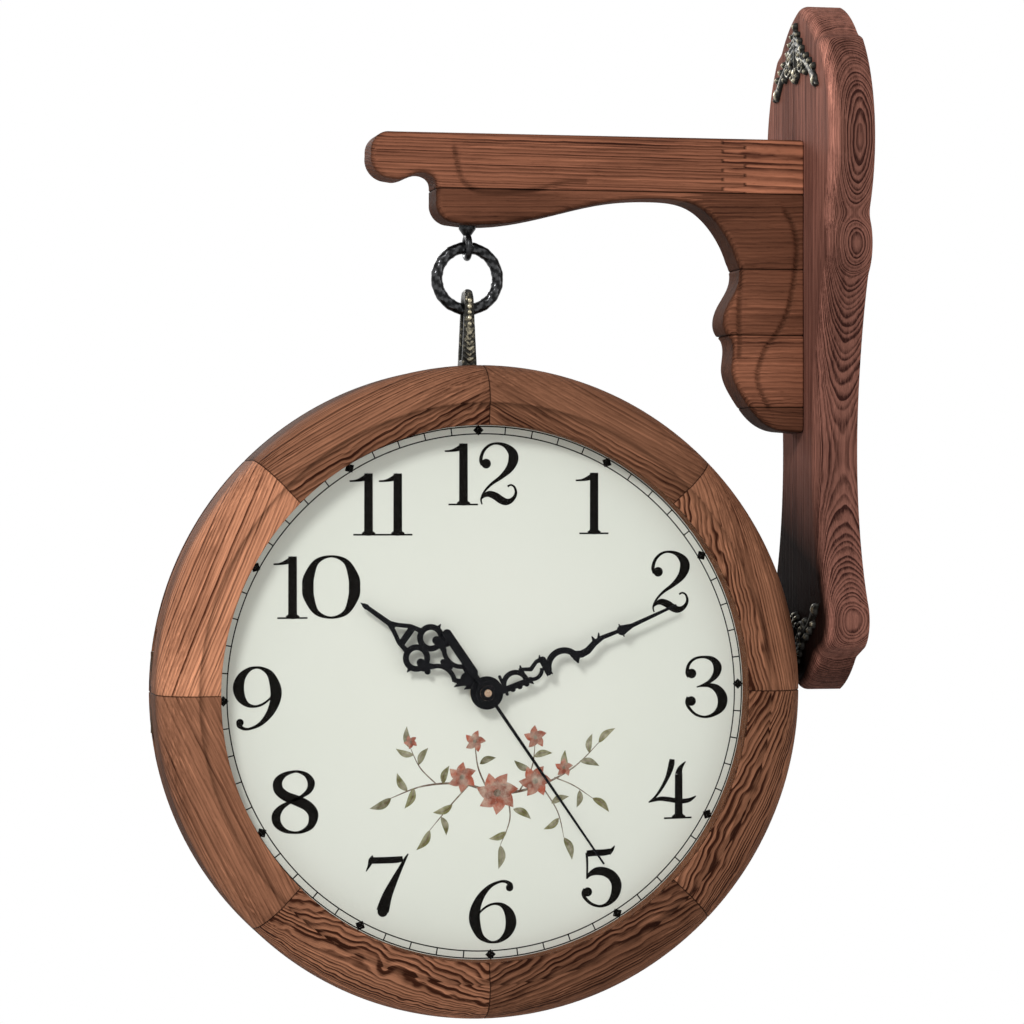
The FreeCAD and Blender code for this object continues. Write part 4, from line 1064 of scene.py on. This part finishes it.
def print_sprig(sheet):
    for stem in SPRIG_STEMS:
        path = smooth_path([(u * MM, v * MM, width * MM) for u, v, width in stem], False, CURVE_STEPS)
        sheet.add(strip_mesh(path, False), UMBER)
    for number, leaf in enumerate(SPRIG_LEAVES):
        fade = 0.75 + 0.5 * (number * 7 % 5) / 4
        sheet.add(leaf_mesh(*leaf), scaled(OLIVE, fade))
        u, v, direction, length, share = leaf
        sheet.add(leaf_mesh(u, v, direction + VEIN_TURN, length * VEIN_LENGTH, VEIN_BREADTH), UMBER)
    for u, v, radius, petals, turn in SPRIG_BLOSSOMS:
        for ring, size, fade in ((0, 1.0, 1.0), (1, 0.66, 0.72)):
            for petal in range(petals):
                direction = turn + 360 * (petal + ring / 2) / petals
                tint = scaled(scaled(TERRACOTTA, fade), 0.82 + 0.36 * (petal % 3) / 2)
                sheet.add(leaf_mesh(u, v, direction, radius * size, PETAL_BREADTH), tint)
        sheet.add(disc_mesh(u * MM, v * MM, radius * HEART_SHARE * MM), UMBER)


class CLOCK_OT_dials(bpy.types.Operator):
    """Print the numerals, the minute track and a sprig on both dials"""
    bl_idname = "bracket_clock.dials"
    bl_label = "Dials"

    def execute(self, context):
        for side, body, turn in SIDES:
            dress(side + "_dial", dial_paper)
            ink = FlatPrint(turn)
            print_track(ink)
            for number, place in NUMERAL_PLACES.items():
                print_numeral(ink, number, place, settings().dial.numeral_height)
            ink.make(side + "_dial_numerals", finish(dial_ink), body)
            sprig = FlatPrint(turn)
            print_sprig(sprig)
            sprig.make(side + "_dial_sprig", finish(sprig_print), body)
        return {"FINISHED"}


class CLOCK_OT_glasses(bpy.types.Operator):
    """Glaze both faces"""
    bl_idname = "bracket_clock.glasses"
    bl_label = "Glasses"

    def execute(self, context):
        for side, body, turn in SIDES:
            dress(side + "_glass", clear_glass)
        return {"FINISHED"}


# Hands and the works behind the dials

# dome that caps the seconds hand: radius and lift of its foot, wall and dome above its seat,
# and the seat below the hand's top
CAP_RADIUS = 4.72 * MM
CAP_FOOT = (4.66 * MM, 0.02 * MM)
CAP_WALL = 0.5 * MM
CAP_DOME = 1.5 * MM
CAP_SEAT = 1.8 * MM
CAP_STEPS = 48
CAP_DOME_STEPS = 8


def centre_cap(side, turn):
    low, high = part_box(side + "_seconds_hand")
    seat = (-low.y if turn > 0 else high.y) - CAP_SEAT
    # radius and distance ahead, from the rim to the middle
    profile = [(CAP_FOOT[0], seat + CAP_FOOT[1]), (CAP_RADIUS, seat + CAP_WALL)]
    for step in range(1, CAP_DOME_STEPS + 1):
        angle = math.pi / 2 * step / CAP_DOME_STEPS
        profile.append((CAP_RADIUS * math.cos(angle), seat + CAP_WALL + CAP_DOME * math.sin(angle)))
    points = []
    for step in range(CAP_STEPS):
        angle = 2 * math.pi * step / CAP_STEPS
        for radius, ahead in profile:
            away = Vector((turn * radius * math.cos(angle), -turn * ahead, radius * math.sin(angle)))
            points.append(CLOCK + away)
    faces = grid_faces(CAP_STEPS, len(profile), across=False)
    new_piece(side + "_centre_cap", points, faces, finish(copper_cap), side + "_seconds")


class CLOCK_OT_hands(bpy.types.Operator):
    """Enamel the hands and cap them with a copper dome"""
    bl_idname = "bracket_clock.hands"
    bl_label = "Hands"

    def execute(self, context):
        for side, body, turn in SIDES:
            for hand in ("hour", "minute", "seconds"):
                dress(side + "_" + hand + "_hand", hand_black)
            centre_cap(side, turn)
        return {"FINISHED"}


WORKS = {
    "steel": steel,
    "hinge_brass": hinge_brass,
    "arbor_brass": arbor_brass,
    "movement_plastic": movement_plastic,
    "battery": battery_can,
}


class CLOCK_OT_works(bpy.types.Operator):
    """Finish the movements, cells, arbors, hinge, catch and screws"""
    bl_idname = "bracket_clock.works"
    bl_label = "Works and Fittings"

    def execute(self, context):
        for part in frame["record"]["subparts"]:
            make = WORKS.get(part["material_slot"])
            if make:
                dress(part["node"], make, part["material_slot"])
        return {"FINISHED"}


# Bracket arm

# Scroll lines carved in both cheeks: shares of the arm's length out from the plate and of its drop
CARVED_LINES = (
    ((0.043, 0.247), (0.025, 0.293), (0.016, 0.358), (0.018, 0.424), (0.025, 0.502), (0.039, 0.594),
     (0.062, 0.66), (0.089, 0.713), (0.105, 0.772), (0.109, 0.818), (0.098, 0.87), (0.084, 0.909)),
    ((0.150, 0.45), (0.151, 0.531), (0.153, 0.609), (0.151, 0.688), (0.153, 0.74)),
    ((0.811, 0.055), (0.8, 0.132), (0.787, 0.17), (0.756, 0.197), (0.69, 0.198), (0.619, 0.185),
     (0.561, 0.16), (0.512, 0.156)),
)
# pith across the arm and above its strip, ring spacing, slant, tone, contrast, play
ARM_BOARDS = (
    (14.0, -120.0, 2.0, 0.6, 1.10, 0.74, 0.08),
    (-60.0, -70.0, 2.0, -1.0, 0.60, 0.42, 0.14),
    (-90.0, -90.0, 2.0, 1.0, 0.78, 0.46, 0.12),
    (-80.0, -110.0, 2.1, 0.0, 1.04, 0.48, 0.14),
    (40.0, -60.0, 1.9, 3.0, 0.58, 0.66, 0.20),
)
# each strip comes from another length of tree
STRIP_SHIFT = 0.9
ARM_VOXEL = 1.2 * MM
# carved lines: a round groove, and a shoulder that slopes off on one side of it
CHEEK = 13.0 * MM
GROOVE_HALF = 2.6 * MM
# painted shade at the bottom of a groove, as a share of the wood's tone
GROOVE_PAINTED_SHADE = 0.45
GROOVE_STEPS = 3
SHOULDER_REACH = 13.0 * MM
SHOULDER_SHARE = 0.55


def arm_place(share):
    # share of the length out from the plate's face and of the drop below the arm's top
    length = PLATE_LOW.x - ARM_LOW.x
    drop = ARM_HIGH.z - ARM_FOOT
    return Vector((PLATE_LOW.x - share[0] * length, ARM_HIGH.z - share[1] * drop))


def line_distance(spot, path):
    # distance to a run of points, and which side of it the spot lies on
    best, hand = 1.0, 0.0
    for start, end in zip(path, path[1:]):
        run = end - start
        t = max(0.0, min(1.0, (spot - start).dot(run) / run.length_squared))
        away = spot - start - run * t
        if away.length < best:
            best = away.length
            hand = 1.0 if run.x * away.y - run.y * away.x > 0.0 else -1.0
    return best, hand


def carve_arm(mesh, depth):
    # cuts the lines and tells how dark each point is painted, with painted shade in the grooves
    curves = [smooth_path(line, False, GROOVE_STEPS) for line in CARVED_LINES]
    paths = [[arm_place(share) for share in curve] for curve in curves]
    shades = [1.0] * len(mesh.vertices)
    for vertex in mesh.vertices:
        if abs(vertex.co.y) < CHEEK:
            continue
        spot = Vector((vertex.co.x, vertex.co.z))
        cut, deepest = 0.0, 0.0
        for path in paths:
            far, hand = line_distance(spot, path)
            groove = max(0.0, 1.0 - (far / GROOVE_HALF) ** 2) ** 2
            shoulder = SHOULDER_SHARE * max(0.0, 1.0 - far / SHOULDER_REACH) if hand > 0.0 else 0.0
            cut = max(cut, groove, shoulder)
            deepest = max(deepest, groove)
        vertex.co.y -= math.copysign(cut * depth, vertex.co.y)
        shades[vertex.index] -= GROOVE_PAINTED_SHADE * deepest
    return shades


class CLOCK_OT_bracket_arm(bpy.types.Operator):
    """Carve the edge-glued arm of the bracket and give every strip its own grain"""
    bl_idname = "bracket_clock.bracket_arm"
    bl_label = "Bracket Arm"

    def execute(self, context):
        depth = settings().wood.carving
        for number, (across, above, spacing, slant, tone, contrast, play) in enumerate(ARM_BOARDS, start=1):
            node = "arm_strip_%d" % number
            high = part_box(node)[1]
            solid = frame["nodes"][node]
            mesh = remeshed(solid.data.copy(), ARM_VOXEL, solid)
            shades = carve_arm(mesh, depth)
            lean = math.tan(math.radians(slant))
            grains, values = [], []
            for vertex in mesh.vertices:
                place = vertex.co
                grains += (place.x + STRIP_SHIFT * number, (place.y - across * MM) / spacing,
                           (place.z - high.z - above * MM + lean * place.x) / spacing)
                # the tone takes the painted shade of the grooves
                values += (tone * shades[vertex.index], contrast, 0.0, play)
            piece = add_piece("carved_" + node, mesh, finish(arm_wood), "bracket")
            write(mesh, "grain", "FLOAT_VECTOR", grains)
            write(mesh, "board", "FLOAT_COLOR", values)
            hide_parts(node)
        return {"FINISHED"}


# Castings: ornaments, ring, hanger and eye

# lengths that the ornament's shares are of: down and round, across, and thick
ORNAMENT_WIDTH = 96.0 * MM
ORNAMENT_SPREAD = 112.0 * MM
ORNAMENT_THICK = 3.6 * MM
ORNAMENT_VOXEL = 0.5 * MM
HOOP_STEPS = 15
# shares of the thickness for bars and hoops, and the swelling of the beads
BAR_RISE = 0.70
HOOP_RISE = 0.82
BEAD_SWELL = 1.05
# discs of (down, left, radius), bars of (down, left, width) twice, rings of (down, left, radii)
ORNAMENT_MIDLINE_SHARES = (
    ("disc", 0.026, 0.0, 0.026),
    ("bar", 0.035, 0.0, 0.032, 0.15, 0.0, 0.062),
    ("bar", 0.15, 0.0, 0.062, 0.29, 0.0, 0.044),
    ("disc", 0.335, 0.0, 0.040),
)
ORNAMENT_PAIR_SHARES = (
    ("bar", 0.065, 0.0, 0.030, 0.085, 0.050, 0.026),
    ("disc", 0.086, 0.055, 0.020),
    ("bar", 0.105, 0.0, 0.040, 0.135, 0.085, 0.032),
    ("disc", 0.136, 0.093, 0.023),
    ("bar", 0.145, 0.02, 0.045, 0.185, 0.125, 0.036),
    ("disc", 0.188, 0.136, 0.024),
    ("bar", 0.19, 0.03, 0.046, 0.238, 0.165, 0.040),
    ("ring", 0.228, 0.098, 0.050, 0.024),
    ("disc", 0.228, 0.098, 0.018),
    ("bar", 0.235, 0.04, 0.046, 0.29, 0.205, 0.046),
    ("disc", 0.25, 0.222, 0.025),
    ("ring", 0.298, 0.128, 0.056, 0.028),
    ("disc", 0.298, 0.128, 0.020),
    ("bar", 0.288, 0.20, 0.052, 0.345, 0.29, 0.062),
    ("disc", 0.292, 0.285, 0.025),
    ("bar", 0.345, 0.29, 0.062, 0.415, 0.36, 0.084),
    ("disc", 0.430, 0.375, 0.044),
    ("disc", 0.335, 0.355, 0.025),
    ("bar", 0.42, 0.37, 0.044, 0.462, 0.425, 0.026),
    ("disc", 0.318, 0.048, 0.024),
    ("disc", 0.362, 0.044, 0.024),
    ("disc", 0.384, 0.012, 0.022),
    ("disc", 0.352, 0.205, 0.024),
)


def add_ball(shape, middle, radius, height):
    # ball flattened or raised along X
    size = Matrix.Translation(middle) @ Matrix.Diagonal((height, radius, radius, 1.0))
    bmesh.ops.create_uvsphere(shape, u_segments=16, v_segments=10, radius=1.0, matrix=size)


def baked(shape, name):
    mesh = bpy.data.meshes.new(name)
    shape.to_mesh(mesh)
    shape.free()
    return mesh


def add_limb(shape, start, end, first, last, height):
    # skin stretched over a ball at each end
    limb = bmesh.new()
    add_ball(limb, start, first, height)
    add_ball(limb, end, last, height)
    bmesh.ops.convex_hull(limb, input=limb.verts)
    loose = [vertex for vertex in limb.verts if not vertex.link_faces]
    bmesh.ops.delete(limb, geom=loose, context="VERTS")
    mesh = baked(limb, "limb")
    shape.from_mesh(mesh)
    bpy.data.meshes.remove(mesh)


def ornament_mesh(point, down):
    """Filigree from the shares above, domed, with its point at the given place."""
    shape = bmesh.new()

    def spot(u, v):
        return point + Vector((0.0, v * ORNAMENT_SPREAD, down * u * ORNAMENT_WIDTH))

    def add_hoop(u, v, radius, width):
        angles = [math.radians(360.0 * step / HOOP_STEPS) for step in range(HOOP_STEPS + 1)]
        spots = [spot(u + radius * math.cos(angle), v + radius * math.sin(angle)) for angle in angles]
        half = width * ORNAMENT_WIDTH / 2
        for start, end in zip(spots, spots[1:]):
            add_limb(shape, start, end, half, half, HOOP_RISE * ORNAMENT_THICK)

    pair = ORNAMENT_PAIR_SHARES
    for mirror, shares in ((1, ORNAMENT_MIDLINE_SHARES), (1, pair), (-1, pair)):
        for kind, u, v, size, *rest in shares:
            here = spot(u, mirror * v)
            if kind == "disc":
                add_ball(shape, here, size * ORNAMENT_WIDTH * BEAD_SWELL, ORNAMENT_THICK)
            elif kind == "bar":
                end = spot(rest[0], mirror * rest[1])
                add_limb(shape, here, end, size * ORNAMENT_WIDTH / 2, rest[2] * ORNAMENT_WIDTH / 2,
                         BAR_RISE * ORNAMENT_THICK)
            else:
                add_hoop(u, mirror * v, (size + rest[0]) / 2, size - rest[0])
    return baked(shape, "ornament")


class CLOCK_OT_ornaments(bpy.types.Operator):
    """Cast the two filigree ornaments on the wall plate"""
    bl_idname = "bracket_clock.ornaments"
    bl_label = "Ornaments"

    def execute(self, context):
        for node, down in (("upper_ornament", -1.0), ("lower_ornament", 1.0)):
            low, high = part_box(node)
            face = high.x
            point = Vector((face, 0.0, high.z if down < 0 else low.z))
            mesh = remeshed(ornament_mesh(point, down), ORNAMENT_VOXEL)
            for vertex in mesh.vertices:
                vertex.co.x = min(vertex.co.x, face)
            piece = add_piece("cast_" + node, mesh, finish(antique_brass), "bracket")
            relief = [min(1.0, (face - vertex.co.x) / ORNAMENT_THICK) for vertex in mesh.vertices]
            write(mesh, "relief", "FLOAT", relief)
            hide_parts(node)
        return {"FINISHED"}


LINK_RADIUS = 19.2 * MM
LINK_WIRE = 3.8 * MM
LINK_STEPS = 224
WIRE_STEPS = 30
LEAVES = 16
ENGRAVING = 0.42 * MM


def engraved_ring():
    # leaves round the ring, cut in from its round section
    points, relief = [], []
    for step in range(LINK_STEPS):
        angle = 2 * math.pi * step / LINK_STEPS
        for row in range(WIRE_STEPS):
            turn = 2 * math.pi * row / WIRE_STEPS
            leaf = 0.5 + 0.5 * math.cos(LEAVES * angle + 3.4 * math.cos(turn))
            leaf = 0.7 * leaf + 0.3 * (0.5 + 0.5 * math.cos(2 * LEAVES * angle - 4 * turn))
            radius = LINK_WIRE - ENGRAVING * (1.0 - leaf)
            out = LINK_RADIUS + radius * math.cos(turn)
            away = Vector((out * math.cos(angle), radius * math.sin(turn), out * math.sin(angle)))
            points.append(LINK_MIDDLE + away)
            relief.append(leaf)
    faces = grid_faces(LINK_STEPS, WIRE_STEPS, flip=True)
    piece = new_piece("engraved_ring", points, faces, finish(engraved_gunmetal), "ring")
    write(piece.data, "relief", "FLOAT", relief)
    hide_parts("hanging_ring")


HANGER_HALF = 7.8 * MM
HANGER_VOXEL = 0.45 * MM
BEAD_RADIUS = 2.1 * MM
BEAD_SINK = 0.7 * MM
# millimetres below the hanger's top
BEAD_DROPS = [4.0 + 3.6 * step for step in range(6)]
LEAF_DROPS = [25.0 + 3.3 * step for step in range(7)]


def beaded_hanger():
    # beads down the upper half of each leg, slanted leaves below them
    shape = bmesh.new()
    shape.from_mesh(frame["nodes"]["hanger"].data)
    x = (HANGER_LOW.x + HANGER_HIGH.x) / 2
    top = HANGER_HIGH.z
    for hand in (-1.0, 1.0):
        for drop in (drop * MM for drop in BEAD_DROPS):
            round_off = max(0.0, HANGER_HALF - drop)
            face = math.sqrt(max(0.0, HANGER_HALF ** 2 - round_off ** 2))
            place = Matrix.Translation((x, hand * (face - BEAD_SINK), top - drop))
            bmesh.ops.create_uvsphere(shape, u_segments=14, v_segments=9, radius=BEAD_RADIUS, matrix=place)
        for step, drop in enumerate(LEAF_DROPS):
            for lean in (-1.0, 1.0):
                start = Vector((x, hand * (HANGER_HALF - 0.2 * MM), top - drop * MM))
                end = start + Vector((lean * (1.6 + 0.25 * step) * MM, 0.0, 2.4 * MM))
                add_limb(shape, start, end, 1.2 * MM, 0.9 * MM, 1.1 * MM)
    mesh = remeshed(baked(shape, "hanger"), HANGER_VOXEL)
    piece = add_piece("beaded_hanger", mesh, finish(antique_brass), "clock")
    heights = [(abs(vertex.co.y) - HANGER_HALF + 0.8 * MM) / (2.0 * MM) for vertex in mesh.vertices]
    write(mesh, "relief", "FLOAT", [max(0.62, min(1.0, height)) for height in heights])
    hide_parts("hanger")


class CLOCK_OT_hanging_links(bpy.types.Operator):
    """Make the engraved ring and the beaded hanger, and plate the screw eye"""
    bl_idname = "bracket_clock.hanging_links"
    bl_label = "Hanging Links"

    def execute(self, context):
        engraved_ring()
        beaded_hanger()
        dress("screw_eye", gunmetal)
        return {"FINISHED"}


# Stage

FLOOR_RADIUS = 1.5
FLOOR_SIDES = 120


def add_light(name, place, aim, size, power):
    lamp = bpy.data.lights.new(name, "AREA")
    lamp.shape = "DISK"
    lamp.size = size
    lamp.energy = power
    light = bpy.data.objects.new(name, lamp)
    light.location = place
    light.rotation_euler = (aim - place).to_track_quat("-Z", "Y").to_euler()
    bpy.context.scene.collection.objects.link(light)


def white_world(world):
    # white behind the clock, softer as a source of light
    look = NodeTree(world, "World")
    ray = look.node("LightPath").outputs
    camera, glossy, through = [Value(look, ray[name]) for name in
                               ("Is Camera Ray", "Is Glossy Ray", "Is Transmission Ray")]
    seen = look.math("MAXIMUM", look.math("MAXIMUM", camera, glossy), through)
    strength = look.span(seen, 0.0, 1.0, 0.50, 1.0)
    look.show(look.value("Background", {"Color": (1.0, 1.0, 1.0, 1.0), "Strength": strength}))


class CLOCK_OT_stage(bpy.types.Operator):
    """Set the floor, the lights, the white surroundings and the camera"""
    bl_idname = "bracket_clock.stage"
    bl_label = "Stage"

    def execute(self, context):
        stage = settings().stage
        scene = context.scene
        foot = CLOCK.z - CASE_RADIUS - stage.floor_drop
        rim, sheet = disc_mesh(CLOCK.x, 0.0, FLOOR_RADIUS, FLOOR_SIDES)
        floor = bpy.data.meshes.new("floor")
        floor.from_pydata([(x, y, foot) for x, y in rim], [], sheet)
        floor.materials.append(finish(pale_floor))
        floor_piece = bpy.data.objects.new("floor", floor)
        scene.collection.objects.link(floor_piece)
        for name, away, size, power in (("key", (-1.2, -1.7, 1.4), 0.6, stage.key_power),
                                        ("fill", (1.9, -1.4, 0.3), 1.4, stage.fill_power),
                                        ("back", (-0.7, 2.2, 1.1), 1.0, stage.back_power)):
            add_light(name, CLOCK + Vector(away), CLOCK, size, power)
        scene.world = scene.world or bpy.data.worlds.new("surroundings")
        white_world(scene.world)
        lens = bpy.data.cameras.new("camera")
        lens.lens = stage.lens
        lens.sensor_width = 36.0
        lens.clip_start = 0.05
        camera = bpy.data.objects.new("camera", lens)
        camera.location = CLOCK + Vector(stage.place)
        camera.rotation_euler = (math.pi / 2, 0.0, -stage.turn)
        scene.collection.objects.link(camera)
        scene.camera = camera
        scene.view_settings.view_transform = "Standard"
        return {"FINISHED"}


PIECES = (
    CLOCK_OT_wall_plate,
    CLOCK_OT_bracket_arm,
    CLOCK_OT_ornaments,
    CLOCK_OT_hanging_links,
    CLOCK_OT_case_rings,
    CLOCK_OT_dials,
    CLOCK_OT_glasses,
    CLOCK_OT_hands,
    CLOCK_OT_works,
    CLOCK_OT_stage,
)


class CLOCK_PT_sidebar(bpy.types.Panel):
    """Lists the settings and the pieces of the clock"""
    bl_idname = "CLOCK_PT_sidebar"
    bl_label = "Bracket Clock"
    bl_space_type = "VIEW_3D"
    bl_region_type = "UI"
    bl_category = "Bracket Clock"

    def draw(self, context):
        clock = context.scene.bracket_clock
        for group in (clock.wood, clock.metal, clock.dial, clock.stage):
            box = self.layout.box()
            for field in group.bl_rna.properties:
                if field.identifier not in ("rna_type", "name"):
                    box.prop(group, field.identifier)
        for piece in PIECES:
            self.layout.operator(piece.bl_idname)


CLASSES = (WoodSettings, MetalSettings, DialSettings, StageSettings, ClockSettings, *PIECES,
           CLOCK_PT_sidebar)


def register():
    for kind in CLASSES:
        bpy.utils.register_class(kind)
    bpy.types.Scene.bracket_clock = PointerProperty(type=ClockSettings)


def unregister():
    del bpy.types.Scene.bracket_clock
    for kind in reversed(CLASSES):
        bpy.utils.unregister_class(kind)


def main():
    register()
    for piece in PIECES:
        group, name = piece.bl_idname.split(".")
        getattr(getattr(bpy.ops, group), name)()


if __name__ == "__main__":
    main()
